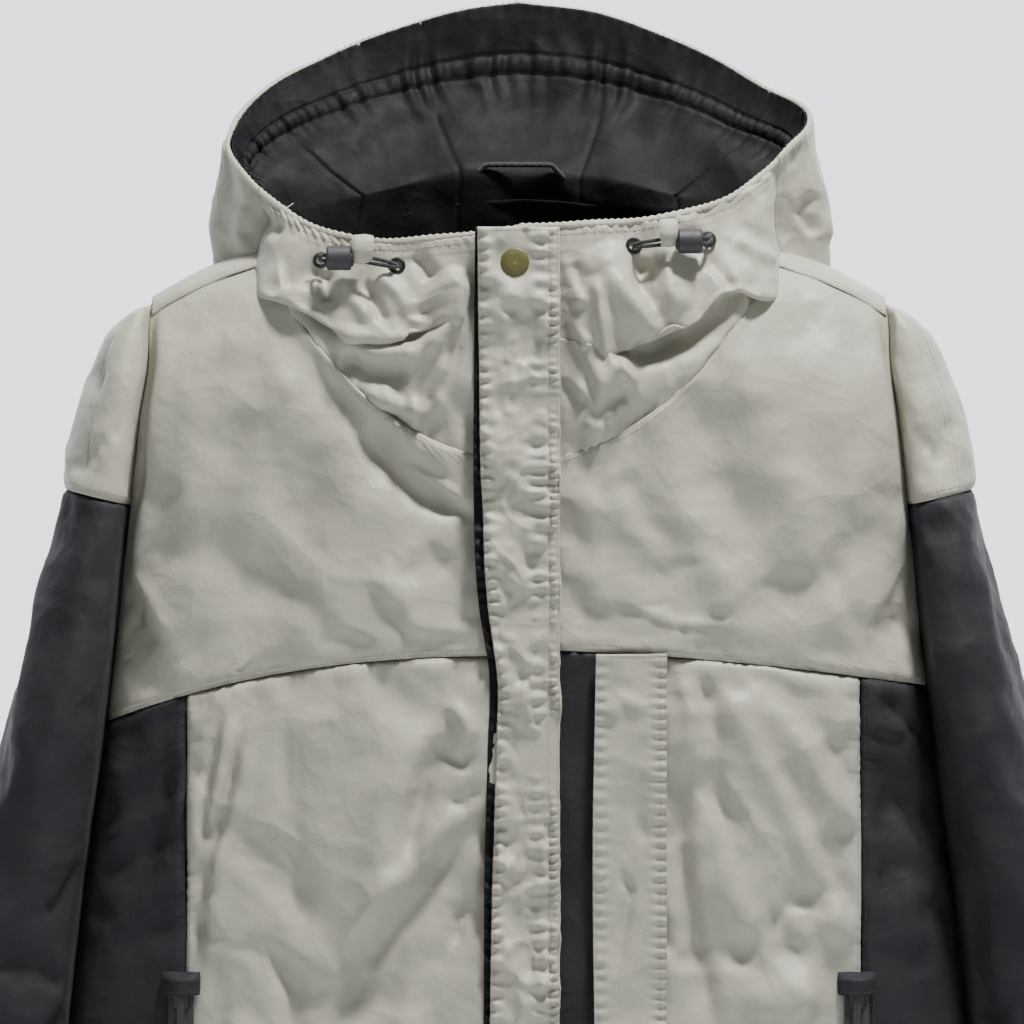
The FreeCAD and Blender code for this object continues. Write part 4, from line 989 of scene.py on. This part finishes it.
RIM_Z = {
    -1: [(0, -50), (14, -55), (29, -57.5), (45, -48), (57, -32), (71, -11), (82, 3), (90, 12), (105, 32), (123, 57),
         (135, 71), (147, 86), (158, 98), (169, 108), (180, 113)],
    1: [(0, -49), (14, -46.5), (22, -45), (33, -40), (40, -35), (48, -27), (57, -13), (69, 7), (82, 21), (90, 29),
        (104, 39), (122, 53), (138, 75), (149, 89), (163, 105), (180, 113)],
}
LOW_Z = {
    -1: [(0, -112), (12, -104), (20, -117), (32, -118), (40, -108), (50, -97), (63, -91), (72, -83), (80, -74),
         (90, -68), (105, -80), (130, -112), (155, -130), (180, -138)],
    1: [(0, -124), (12, -126), (18, -129), (27, -123), (34, -111), (40, -95), (55, -95), (69, -88), (80, -82),
        (88, -74), (100, -80), (130, -112), (155, -130), (180, -138)],
}
STAND_OUT = {
    -1: [(0, 0), (9, 1), (16, 8), (25, 13), (40, 14), (60, 13), (75, 11), (90, 12), (110, 18), (140, 32), (180, 44)],
    1: [(0, 0), (12, 2), (20, 9), (30, 14), (38, 15), (60, 12), (80, 13), (90, 14), (110, 18), (140, 32), (180, 44)],
}


def rim_line(turn, side):
    """The hood opening's edge at a turn from the front centre, on one side."""
    half = 188 + 6 * smooth((turn - 40) / 50)
    x = half * np.sin(np.radians(turn))
    y = -33 - 83 * np.cos(np.radians(turn))
    return np.stack([side * x, y, through(RIM_Z[side], turn)], -1)


def neck_line(turn, side):
    """The seam between hood or collar and the torso."""
    parting = 63.5
    x = np.minimum(188 * np.sin(np.radians(np.minimum(turn, parting))) * 0.985, NECK_HALF)
    z = neckline_z(x)
    front = np.stack([x, front_y(x, z), z], -1)
    q = np.radians(np.clip((turn - parting) / (180 - parting), 0, 1) * 90)
    back = np.stack([NECK_HALF * np.cos(q), -44 + 50 * np.sin(q), -48 + 44 * np.sin(q)], -1)
    front = front + np.array([0.0, 2.2, -5.0])
    f = smooth((turn - 58) / 10)[..., None]
    point = mix(front, back, f)
    point[..., 0] *= side
    return point


def hood_skin(turn, f, side):
    """Collar and hood outer surface: turn 0 to 180, f 0 at the rim and 1 at the neck seam."""
    rim = rim_line(turn, side)
    neck = neck_line(turn, side)
    low = through(LOW_Z[side], turn)
    wide = through(STAND_OUT[side], turn)
    out = np.stack([side * np.sin(np.radians(turn)), -np.cos(np.radians(turn)), 0 * turn], -1)
    back = smooth((turn - 60) / 40)
    fall = (rim[..., 2] - neck[..., 2])
    front_share = np.clip((rim[..., 2] - low) / np.maximum(fall, 1), 0.05, 0.95)

    def at(share, push, z):
        """A control point between rim and neck in plan, pushed outwards, at height z."""
        point = mix(rim, neck, (share * (1 - back))[..., None]) + out * push[..., None]
        point[..., 2] = z
        return point

    rim_z = rim[..., 2]
    top = rim_z - low
    points = [
        rim,
        at(0.22 * front_share, wide * mix(0.12, 0.45, back), rim_z - 0.25 * top),
        at(0.50 * front_share, wide * mix(0.4, 0.85, back), rim_z - 0.55 * top),
        at(0.86 * front_share, wide * 0.96, rim_z - 0.86 * top),
        at(front_share, wide * 0.86, low),
        at(front_share, wide * mix(0.3, 0.5, back), low + mix(3.0, 6.0, back)),
    ]
    last = neck[..., 2]
    tuck = mix(at(0.5 * (1 + front_share), wide * 0.1 + 1.5, mix(low, last, 0.5)),
               mix(points[-1], neck, 0.5), back[..., None])
    points += [tuck, neck]
    stack = np.stack(points)
    places = np.array([0, 0.2, 0.4, 0.62, 0.72, 0.78, 0.9, 1.0])
    k = np.clip(np.searchsorted(places, f, side="right") - 1, 0, len(places) - 2)
    slope = np.gradient(stack, places, axis=0)
    i, j = np.indices(k.shape)
    wide_k = (places[k + 1] - places[k])[..., None]
    g = ((f - places[k]))[..., None] / wide_k
    p0, p1 = stack[k, i, j], stack[k + 1, i, j]
    m0, m1 = slope[k, i, j] * wide_k, slope[k + 1, i, j] * wide_k
    return ((2 * g ** 3 - 3 * g ** 2 + 1) * p0 + (g ** 3 - 2 * g ** 2 + g) * m0
            + (3 * g ** 2 - 2 * g ** 3) * p1 + (g ** 3 - g ** 2) * m1)


COLLAR_FOLDS = [
    # wearer's right
    (5.0, 6, 15, [(-49, -76), (-39, -90), (-41, -106), (-62, -134)]),
    (-3.0, 7, 9, [(-64, -96), (-58, -112), (-76, -120)]),
    (3.5, 10, 8, [(-124, -117), (-100, -129), (-72, -131), (-58, -122)]),
    (-3.8, 6, 9, [(-116, -132), (-94, -143), (-68, -145)]),
    (2.4, 6, 6, [(-104, -152), (-82, -166), (-56, -172)]),
    (-2.2, 5, 7, [(-174, -38), (-162, -46), (-152, -48)]),
    (-3.0, 5, 8, [(-127, -74), (-140, -80), (-158, -82)]),
    (-2.4, 4, 6, [(-126, -76), (-124, -96)]),
    (2.2, 6, 5, [(-112, -80), (-108, -96), (-96, -110)]),
    (-1.8, 4, 5, [(-102, -82), (-92, -98), (-84, -112)]),
    (1.8, 5, 5, [(-92, -78), (-78, -92), (-70, -106)]),
    (-2.0, 5, 5, [(-68, -66), (-56, -84)]),
    (2.2, 5, 7, [(-180, -30), (-184, -50), (-176, -68)]),
    (1.6, 4, 4, [(-44, -132), (-54, -156), (-46, -178)]),
    (-1.6, 3, 5, [(-36, -120), (-44, -146), (-60, -166)]),
    (1.4, 3, 4, [(-70, -158), (-62, -176)]),
    (1.4, 3, 4, [(-88, -150), (-78, -168)]),
    # wearer's left
    (6.5, 22, 5, [(73, -153), (58, -138), (54, -111), (46, -80)]),
    (-4.0, 7, 9, [(47, -84), (50, -112), (54, -138), (66, -150)]),
    (4.5, 12, 14, [(49, -60), (65, -90), (96, -117)]),
    (-4.0, 7, 5, [(81, -66), (78, -88), (95, -116)]),
    (2.6, 8, 6, [(94, -70), (98, -92), (108, -104)]),
    (3.4, 6, 3, [(64, -130), (70, -146), (75, -154)]),
    (-3.0, 8, 8, [(72, -132), (88, -128), (108, -112)]),
    (2.6, 4, 5, [(28, -66), (36, -88), (42, -104)]),
    (-2.2, 4, 4, [(34, -72), (40, -92)]),
    (2.0, 5, 4, [(30, -108), (42, -122), (50, -128)]),
    (-2.0, 4, 4, [(36, -126), (44, -148), (50, -164)]),
    (2.2, 4, 3, [(27, -144), (34, -152), (44, -161)]),
    (-1.8, 3, 4, [(28, -150), (36, -160), (46, -166)]),
    (2.0, 4, 4, [(56, -176), (63, -170), (71, -163)]),
    (1.8, 4, 4, [(42, -174), (48, -180), (56, -181)]),
    (-2.0, 5, 5, [(122, -66), (132, -78), (140, -90)]),
    (1.8, 6, 5, [(140, -56), (156, -66), (172, -70)]),
    (-2.6, 6, 4, [(196, -20), (190, -36), (198, -52)]),
]


def hood_wrinkles(points, turn, seed=50.0):
    x, y, z = points[..., 0], points[..., 1], points[..., 2]
    facing = 1 - smooth((turn - 70) / 40)
    amount = COLLAR_DEPTH * strokes(x, z, COLLAR_FOLDS) * facing
    amount += 1.6 * field(points, 40, seed) + 0.5 * ridges(points, 34, seed + 1) + 0.5 * field(points, 17, seed + 2)
    amount += 0.18 * field(points, 8, seed + 3)
    amount += (1 - facing) * 2.6 * field(points, 70, seed + 4, (1, 1, 0.6))
    return amount


PARTING = 63.4
hinge_low = (0.0, -0.052, -0.050)
hinge_high = (0.0, 0.000, 0.020)
sides = ("shell", "hood", hinge_low, hinge_high)


def hood_half(word, side, start, seed):
    """Collar and hood side of one side as one skin, cut into two pieces where the hood starts."""
    front, back = 120, 110
    line = np.concatenate([np.linspace(start, PARTING, front), np.linspace(PARTING, 152.0, back)[1:]])
    cut = front - 1
    if side < 0:
        line, cut = line[::-1], back - 1
    turn, v = np.meshgrid(line, np.linspace(0, 1, 97), indexing="ij")
    base = hood_skin(turn, v, side)
    amount = hood_wrinkles(base, turn) * smooth(v / 0.05) + edge_work(base, "tb", seed, 0.6, 6.5, 8)
    room = mix(0.3, 1.0, smooth((side * base[..., 0] - 26) / 28)) if side > 0 else 1.0  # for the opened flap
    shaped = raised(base, amount * mix(0.4, 1.0, smooth((1 - v) / 0.04)) * room)
    locks = smooth((np.abs(base[..., 2] + 66) - 8) / 14)
    shaped = shaped + settle(base, 0.02, seed, cell=7.0, cap=5.0) * (locks * room)[..., None]
    first, second = slice(0, cut + 1), slice(cut, None)
    for part, body, bend, name in ((first, "hood", sides, "hood_side_"), (second, "shell", None, "collar_")):
        if side > 0:
            part = second if part is first else first
        cloth_piece(name + word + "_cloth", shaped[part], stone_nylon, body, [name + word],
                    bend=bend)
        sew_edges(body, thread_grey, shaped[part], {"t": (7.5,), "b": (2.0,)})


hood_half("right", -1, 1.0, 1.0)
hood_half("left", 1, 7.0, 2.0)


def whole_skin(turn, f):
    """The hood skin over both sides: signed turn."""
    right = hood_skin(np.abs(turn), f, -1)
    left = hood_skin(np.abs(turn), f, 1)
    return np.where((turn < 0)[..., None], right, left)


u, v = grid_of(80, 96)
turn = mix(152.2, 207.8, u)
signed = np.where(turn > 180, turn - 360, turn)
base = whole_skin(signed, v)
amount = hood_wrinkles(base, np.abs(signed)) * smooth(v / 0.05) + edge_work(base, "tblr", 5.0, 0.5, 6.5, 8)
centre = raised(base, amount)
cloth_piece("hood_centre_cloth", centre, stone_nylon, "hood", ["hood_centre"], bend=sides)
sew_edges("hood", thread_grey, centre, {"t": (7.5,)})

# lining of hood and collar

def inner_wall(turn, f, side):
    """The lining from the rim down to the neck seam, inside the hood skin."""
    rim = rim_line(turn, side)
    neck = neck_line(turn, side)
    out = np.stack([side * np.sin(np.radians(turn)), -np.cos(np.radians(turn)), 0 * turn], -1)
    back = smooth((turn - 60) / 60)[..., None]
    f = f[..., None]
    down = np.array([0.0, 0.0, -1.0])
    beside = np.exp(-((turn - 130) / 27) ** 2)[..., None]
    near = np.exp(-((turn - 104) / 26) ** 2)[..., None]
    seat = neck - out * (3 + 13 * beside + 5 * near) * back + down * 4 * back
    low = neck + out * (5 - 14 * beside) * back + down * 56 * back
    point = mix(mix(rim, seat, np.minimum(f / 0.78, 1)), low, np.maximum((f - 0.78) / 0.22, 0)) - out * 2.5
    point += out * back * 15 * np.sin(math.pi * np.minimum(f / 0.78, 1))
    point[..., 1] += 12 * (1 - back[..., 0]) * smooth(f[..., 0] / 0.25)
    return point


def lining_wrinkles(points, turn, f, seed):
    run = turn * 2.6
    casing = np.exp(-((f - 0.27) / 0.035) ** 2)
    edges = np.exp(-((f - 0.225) / 0.009) ** 2) + np.exp(-((f - 0.315) / 0.009) ** 2)
    wander = 1.8 * np.sin(run / 17) + 1.3 * np.sin(run / 7.3) + 1.1 * field(points, 30, seed + 5)
    tight = np.sin(2 * math.pi * run / 8.3 + wander)
    loose = np.sin(2 * math.pi * run / 17 + 1.6 * wander)
    near = np.exp(-((f - 0.27) / 0.05) ** 2)
    wide = np.exp(-((f - 0.27) / 0.14) ** 2)
    amount = 1.0 * tight * near + 2.0 * loose * wide * (0.6 + 0.4 * np.sin(run / 29)) + 1.5 * casing - 1.6 * edges
    amount += 0.7 * tight * np.exp(-(f / 0.04) ** 2)
    below = smooth((f - 0.36) / 0.14)
    amount += below * 6.0 * field(points, 60, seed, (1, 1, 0.4))
    amount += below * 3.0 * ridges(points, 95, seed + 1, (1, 1, 0.5))
    amount += 0.9 * field(points, 20, seed + 2)
    for place in (62.0, 118.0, 160.0):
        amount -= 1.6 * np.exp(-((np.abs(turn) - place) * 2.6 / 2.2) ** 2) * (0.5 + 0.5 * below)
    return -amount * mix(0.4, 1.0, smooth((turn - 50) / 30))


def wall_piece(name, start, end, nodes, across, body, bend=None, seed=60.0):
    u, v = grid_of(across, 90)
    turn = mix(start, end, u)
    signed = np.where(turn > 180, turn - 360, turn)
    right = inner_wall(np.abs(signed), v, -1)
    left = inner_wall(np.abs(signed), v, 1)
    base = np.where((signed < 0)[..., None], right, left)
    shaped = raised(base, lining_wrinkles(base, np.abs(signed), v, seed))
    return cloth_piece(name, shaped, taffeta, body, nodes, thick=LINING_CLOTH, bend=bend)


wall_piece("collar_lining_cloth", -63.0, 63.0, ["collar_lining"], 150, "shell")
wall_piece("hood_lining_cloth", 63.4, 296.6, ["hood_lining"], 330, "hood", sides)


# the rim's gathered tunnel

def tunnel(name, start, end, across, body, bend=None):
    u, v = grid_of(across, 16)
    turn = mix(start, end, u)
    signed = np.where(turn > 180, turn - 360, turn)
    rim = np.where((signed < 0)[..., None], rim_line(np.abs(signed), -1), rim_line(np.abs(signed), 1))
    out = np.stack([np.sin(np.radians(signed)), -np.cos(np.radians(signed)), 0 * signed], -1)
    run = np.concatenate([[0], np.cumsum(np.linalg.norm(np.diff(rim[:, 0], axis=0), axis=1))])[:, None]
    wander = 1.3 * np.sin(run / 19) + 0.8 * np.sin(run / 8.1)
    gather = np.sin(2 * math.pi * run / 4.6 + wander + 2.2 * v)
    around = 2 * math.pi * v
    radius = 2.2 + 0.35 * gather * np.abs(np.sin(around)) + 0.25 * np.sin(run / 9)
    lift = np.array([0.0, 0.0, 1.0])
    points = rim + out * (radius * 0.75 * np.cos(around))[..., None] + lift * (radius * 1.15 * np.sin(around) - 1.2)[..., None]
    obj = grid_mesh(name, points, stone_nylon, 0)
    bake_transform(obj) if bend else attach(obj, body)
    return obj


tunnel("rim_tunnel_front", -63.2, 63.2, 420, "shell")
tunnel("rim_tunnel_hood", 63.4, 296.6, 620, "hood", sides)

# ---------------------------------------------------------------- sleeves

OUTER_X = [(-780, 450), (-568, 402), (-350, 338), (-218, 301), (-192, 296), (-140, 280), (-126, 274.5), (-118, 270),
           (-111, 263.5), (-105, 256), (-100, 249), (-94, 238), (-90, 228)]
CAP_TILT = 13.0
CAP_TOP = -94.0


def sleeve_surface(side, angle, z, inset=0.0):
    """Hanging sleeve: angle 0 is the front edge, 90 the wearer's left."""
    outer = through(OUTER_X, z) - inset
    beside = arm_edge(z) - 11
    inner = mix(beside, 352.0, smooth((-600 - z) / 160)) + inset
    inner = np.minimum(inner, outer - 7.0)
    dome = np.sqrt(np.clip(1 - (1 - np.clip((CAP_TOP + 2 - z) / 80, 0, 1)) ** 2, 0, 1))
    upper = mix(46.0, 74.0, smooth((-112 - z) / 250)) * mix(0.3, 1.0, dome)
    depth = np.where(z > -374, upper, mix(74.0, 47.0, (-374 - z) / 356.0)) - inset
    s = np.sin(np.radians(angle))
    c = np.cos(np.radians(angle))
    half = np.maximum(outer - inner, 1.0) / 2
    out = outer - half + side * half * s
    y = MID_Y - 2 - depth * c
    hidden = smooth((arm_edge(z) + 2.5 - out) / 5)
    flat = np.minimum(out, half_width(z) * 0.995)
    front = front_y(flat, z) + 9.0
    back = torso(180 - angle_at(flat, z), z)[..., 1] - 9.0
    y = mix(y, np.clip(y, np.minimum(front, MID_Y), np.maximum(back, MID_Y)), hidden)
    return np.stack([side * out, y, z + 0 * out], -1)


SLEEVE_FOLDS = [
    (-1.3, 2.2, 2.2, [(256, -108), (269, -129), (274, -144), (280, -170), (287, -222)]),
    (3.0, 12, 8, [(300, -250), (312, -320), (330, -400)]),
    (2.6, 10, 8, [(280, -300), (300, -360), (322, -430)]),
    (3.0, 12, 8, [(350, -420), (340, -500), (360, -590)]),
    (2.8, 10, 8, [(300, -440), (340, -500), (380, -560)]),
    (2.6, 10, 8, [(330, -600), (360, -640), (400, -660)]),
    (1.8, 6, 8, [(284, -140), (290, -180), (296, -214)]),
]


def sleeve_tube(name, side, top, low, nodes, material, along, inset=0.0, thick=CLOTH, seed=70.0, bend=None,
                edges="tb", folds=True, stitched=None, colour=None, ripple=1.0):
    across = 128
    body = "sleeve_left" if side > 0 else "sleeve_right"
    u, v = grid_of(across, along)
    angle = -180 + 360 * u
    tilt = np.sin(np.radians(angle)) * side
    z = mix(top(tilt), low(tilt), v)
    base = sleeve_surface(side, angle, z, inset)
    amount = ripple * (2.2 * field(base, 80, seed, (1, 1, 0.6)) + 1.2 * field(base, 34, seed + 1)
                       + 1.1 * ridges(base, 52, seed + 2) + 0.5 * ridges(base, 26, seed + 3))
    if folds:
        front = smooth(np.cos(np.radians(angle)) / 0.4)
        amount += strokes(side * base[..., 0], base[..., 2], SLEEVE_FOLDS) * front
    ends = smooth(v / 0.05) * smooth((1 - v) / 0.05)
    wrap = 0.5 + 0.5 * np.cos(np.pi * np.clip((np.abs(angle) - 168) / 12, 0, 1))
    close = arm_edge(base[..., 2]) + 9 - side * base[..., 0]
    against = 1 - 0.95 * smooth(close / 10) * smooth((base[..., 2] + 640) / 80)
    amount = amount * (0.35 + 0.65 * ends) * wrap * against + edge_work(base, edges, seed, 0.4)
    shaped = raised(base, amount)
    if ripple > 0.5 and thick == CLOTH:
        shaped = shaped + settle(base, 0.02, seed, cell=10.0) * (wrap * against)[..., None]
    shaped[-1] = shaped[0]
    obj = cloth_piece(name, shaped, material, body, nodes, thick=thick, bend=bend)
    if stitched:
        sew_edges(body, colour, shaped, stitched)
    return obj, shaped


def flat_at(z):
    return lambda tilt: z + 0 * tilt


def cap_low(tilt):
    return -226 + CAP_TILT * 0.5 * tilt


OVERARM = [(-230, 288), (-220, 287), (-170, 280), (-144, 274), (-129, 269), (-112, 260), (-97, 246)]


def overarm_line(cap, side, shift):
    """A line over the front of a sleeve cap, where the overarm seam runs."""
    line = []
    for row in cap.transpose(1, 0, 2)[6:-2]:
        front = row[row[:, 1] < MID_Y - 4]
        order = np.argsort(side * front[:, 0])
        x = float(through(OVERARM, front[:, 2].mean())) + shift
        line.append([side * x] + [np.interp(x, side * front[order, 0], front[order, k]) for k in (1, 2)])
    return np.array(line)


for side, word in ((1, "left"), (-1, "right")):
    shoulder = ("shell", "sleeve_" + word, (side * 0.254, -0.042, -0.104), (side * 0.286, -0.042, -0.214))
    cap = sleeve_tube("sleeve_cap_%s_cloth" % word, side, flat_at(CAP_TOP), cap_low,
                ["sleeve_cap_" + word], stone_nylon, 60, seed=70 + side, bend=shoulder, edges="b",
                stitched={"b": (2.0, 5.0)}, colour=thread_grey, ripple=0.6)[1]
    for shift in (-1.7, 1.7):
        line = overarm_line(cap, side, shift)
        sew(shoulder, thread_grey, line, np.tile([0.35 * side, -0.94, 0.0], (len(line), 1)))
    sleeve_tube("sleeve_lower_%s_cloth" % word, side, lambda t: cap_low(t) - 0.4, flat_at(-684),
                ["sleeve_lower_" + word], charcoal_nylon, 150, seed=80 + side)
    sleeve_tube("sleeve_cuff_%s_cloth" % word, side, flat_at(-684.4), flat_at(-730),
                ["sleeve_cuff_" + word], charcoal_nylon, 18, seed=90 + side, folds=False,
                thick=1.2, stitched={"t": (2.0,), "b": (2.5,)}, colour=thread_dark, ripple=0.4)
    sleeve_tube("sleeve_lining_%s_cloth" % word, side, flat_at(-240), flat_at(-720), ["sleeve_lining_" + word],
                taffeta, 90, inset=10.0, thick=LINING_CLOTH, seed=100 + side, folds=False, edges="b",
                ripple=0.7)

# ---------------------------------------------------------------- underarm gussets

for side, word in ((1, "left"), (-1, "right")):
    u, v = grid_of(120, 14)
    run = mix(-1.0, 1.0, u) * side
    z = -384 + 236 * np.abs(run) ** 1.6
    out = arm_edge(z) - 10 + 9 * v
    front = front_y(out, z) + 12.0
    back = torso(180 - angle_at(out, z), z)[..., 1] - 12.0
    y = mix(front, back, smooth(0.5 + 0.5 * np.clip(-side * run * 2.2, -1, 1)))
    base = np.stack([side * out, y, z], -1)
    shaped = raised(base, 0.5 * field(base, 26, 170 + side))
    gather = ("shell", "sleeve_" + word, (side * 0.239, -0.042, -0.3), (side * 0.258, -0.042, -0.3))
    cloth_piece("underarm_%s_cloth" % word, shaped, charcoal_nylon, "shell", bend=gather)

# ---------------------------------------------------------------- cuff tabs

for side, word in ((1, "left"), (-1, "right")):
    low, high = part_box("cuff_tab_" + word)
    low, high = np.array(low) / MM, np.array(high) / MM
    u, v = grid_of(60, 26)
    x = mix(low[0], high[0], u)
    round_end = 5 * (1 - np.sqrt(np.clip(1 - ((v - 0.5) * 2) ** 2, 0, 1)))
    x = x + (round_end * (1 - u) if side > 0 else -round_end * u)
    z = mix(high[2], low[2], v)
    y = low[1] + 0.4 + 0.5 * np.sin(u * 9) * 0.4 + 0 * v
    base = np.stack([x, y, z], -1)
    shaped = raised(base, 0.25 * field(base, 12, 111) + edge_work(base, "lrtb", 2.0, 0.15, 7.0, 4, 0.5))
    cloth_piece("cuff_tab_%s_cloth" % word, shaped, charcoal_nylon, "cuff_tab_" + word,
                ["cuff_tab_" + word], thick=1.2)
    sew_edges("cuff_tab_" + word, thread_dark, shaped, {"l": (2.0,), "r": (2.0,), "t": (2.0,), "b": (2.0,)})

# ---------------------------------------------------------------- garages over the hand zips' tops

for side, word in ((1, "left"), (-1, "right")):
    low, high = (np.array(corner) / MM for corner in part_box("hand_zip_%s_chain" % word))
    u, v = grid_of(24, 20)
    x = mix(low[0] - 4, high[0] + 4, u)
    z = mix(high[2] + 5, high[2] - 9.5, v)
    dome = np.sin(math.pi * u) ** 0.6 * smooth(v / 0.35)
    base = np.stack([x, mix(front_y(x, z) - 1.2, low[1] - 4.6 + 0 * x, dome), z], -1)
    shaped = raised(base, 0.25 * field(base, 9, 150) + edge_work(base, "lrt", 3.0, 0.2, 6.0, 3, 0.4))
    cloth_piece("zip_garage_%s_cloth" % word, shaped, charcoal_nylon, "shell", thick=0.8)
    sew_edges("shell", thread_dark, shaped, {"t": (1.6,), "b": (1.8,)})

# ---------------------------------------------------------------- keeper tabs over the hood cords

for word, left, right, top, low in (("right", -108.0, -94.5, -55.0, -73.0), ("left", 91.5, 102.5, -45.0, -62.0)):
    u, v = grid_of(16, 22)
    x = mix(left, right, u) + 1.2 * np.sin(5 * v) * (u - 0.5)
    base = np.stack([x, -115.5 - 7.0 * np.sin(math.pi * v) ** 0.5, mix(top, low, v)], -1)
    shaped = raised(base, 0.5 * field(base, 9, 140) + edge_work(base, "lrtb", 3.0, 0.2, 6.0, 3, 0.5))
    cloth_piece("keeper_tab_%s_cloth" % word, shaped, stone_nylon, "shell", thick=1.0)
    sew_edges("shell", thread_grey, shaped, {"l": (1.6,), "r": (1.6,)})

# ---------------------------------------------------------------- pocket bags

def bag(name, low, high, node, seed):
    """A flat pocket bag, slightly puffed, hanging inside the front."""
    low, high = np.array(low) / MM, np.array(high) / MM
    u, v = grid_of(40, 60)
    x, z = mix(low[0], high[0], u), mix(high[2], low[2], v)
    puff = 0.5 * (high[1] - low[1]) * np.sin(math.pi * u) ** 0.5 * np.sin(math.pi * v) ** 0.5
    middle = 0.5 * (low[1] + high[1])
    front = np.stack([x, middle - puff - 0.2, z], -1)
    obj = grid_mesh(name, raised(front, 0.5 * field(front, 22, seed)), taffeta, 0.8)
    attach(obj, "shell")
    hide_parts(node)
    return obj


chest_low, chest_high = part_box("chest_pocket_bag")
bag("chest_bag_cloth", chest_low + Vector((0, 0.007, 0)), chest_high + Vector((0, 0.007, 0)), "chest_pocket_bag", 120)
hand_low, hand_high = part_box("hand_pocket_bags")
for side, word in ((1, "left"), (-1, "right")):
    low = Vector((hand_high[0] - 0.100 if side > 0 else hand_low[0], hand_low[1], hand_low[2]))
    high = Vector((hand_high[0] if side > 0 else hand_low[0] + 0.100, hand_high[1], hand_high[2]))
    bag("hand_bag_%s_cloth" % word, low, high, "hand_pocket_bags", 121 + side)

# ---------------------------------------------------------------- thread

for index, ((body, material), (verts, faces)) in enumerate(STITCHES.items()):
    obj = mesh_object("stitching_%02d" % index, np.array(verts) * MM, faces, material)
    if isinstance(body, tuple):
        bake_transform(obj)
    else:
        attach(obj, body)

# ---------------------------------------------------------------- stage, light and camera

floor_look = Look("floor")
floor_grain = floor_look.noise(3, 4)
floor_look.done(floor_look.colour(floor_grain, (0.76, 0.77, 0.79), (0.8, 0.81, 0.83)),
                floor_look.ramp(floor_grain, 0.6, 0.7), floor_look.bump(floor_grain, 0.02, 0.001))
floor = mesh_object("floor", [(-6, -6, -1.15), (6, -6, -1.15), (6, 6, -1.15), (-6, 6, -1.15)], [(0, 1, 2, 3)],
                    floor_look.material)

world = bpy.data.worlds.new("world")
world.use_nodes = True
sky = world.node_tree
heading = sky.nodes.new("ShaderNodeSeparateXYZ")
sky.links.new(sky.nodes.new("ShaderNodeTexCoord").outputs["Generated"], heading.inputs[0])
level = sky.nodes.new("ShaderNodeMapRange")
level.interpolation_type = "SMOOTHSTEP"
for socket, value in (("From Min", -0.35), ("From Max", 0.95), ("To Min", 0.2), ("To Max", 2.3)):
    level.inputs[socket].default_value = value
sky.links.new(heading.outputs["Y"], level.inputs["Value"])
sky.nodes["Background"].inputs["Color"].default_value = (0.93, 0.95, 1.0, 1)
sky.links.new(level.outputs["Result"], sky.nodes["Background"].inputs["Strength"])
bpy.context.scene.world = world


def lamp(name, place, aim, size, power, colour):
    data = bpy.data.lights.new(name, "AREA")
    data.shape = "DISK"
    data.size = size
    data.energy = power
    data.color = colour
    obj = bpy.data.objects.new(name, data)
    obj.location = place
    obj.rotation_euler = (Vector(aim) - Vector(place)).to_track_quat("-Z", "Y").to_euler()
    bpy.context.scene.collection.objects.link(obj)


lamp("key", (0.55, -0.75, 1.9), (0, -0.1, -0.25), 0.35, 128, (1.0, 0.99, 0.965))
lamp("fill", (-2.2, -1.6, 0.6), (0, -0.1, -0.3), 1.6, 2.5, (0.95, 0.97, 1.0))
lamp("back", (0.4, 2.4, 1.2), (0, 0, -0.3), 1.8, 14, (1, 1, 1))

PICTURE_WIDE = 0.6656
DISTANCE = 3.2
camera_data = bpy.data.cameras.new("camera")
camera_data.sensor_width = 36
camera_data.lens = 36 * DISTANCE / PICTURE_WIDE
camera_data.clip_start = 0.1
camera_data.clip_end = 60
camera = bpy.data.objects.new("camera", camera_data)
camera.location = (-0.0045, -0.116 - DISTANCE, -0.235)
camera.rotation_euler = (math.radians(90), 0, 0)
bpy.context.scene.collection.objects.link(camera)
bpy.context.scene.camera = camera
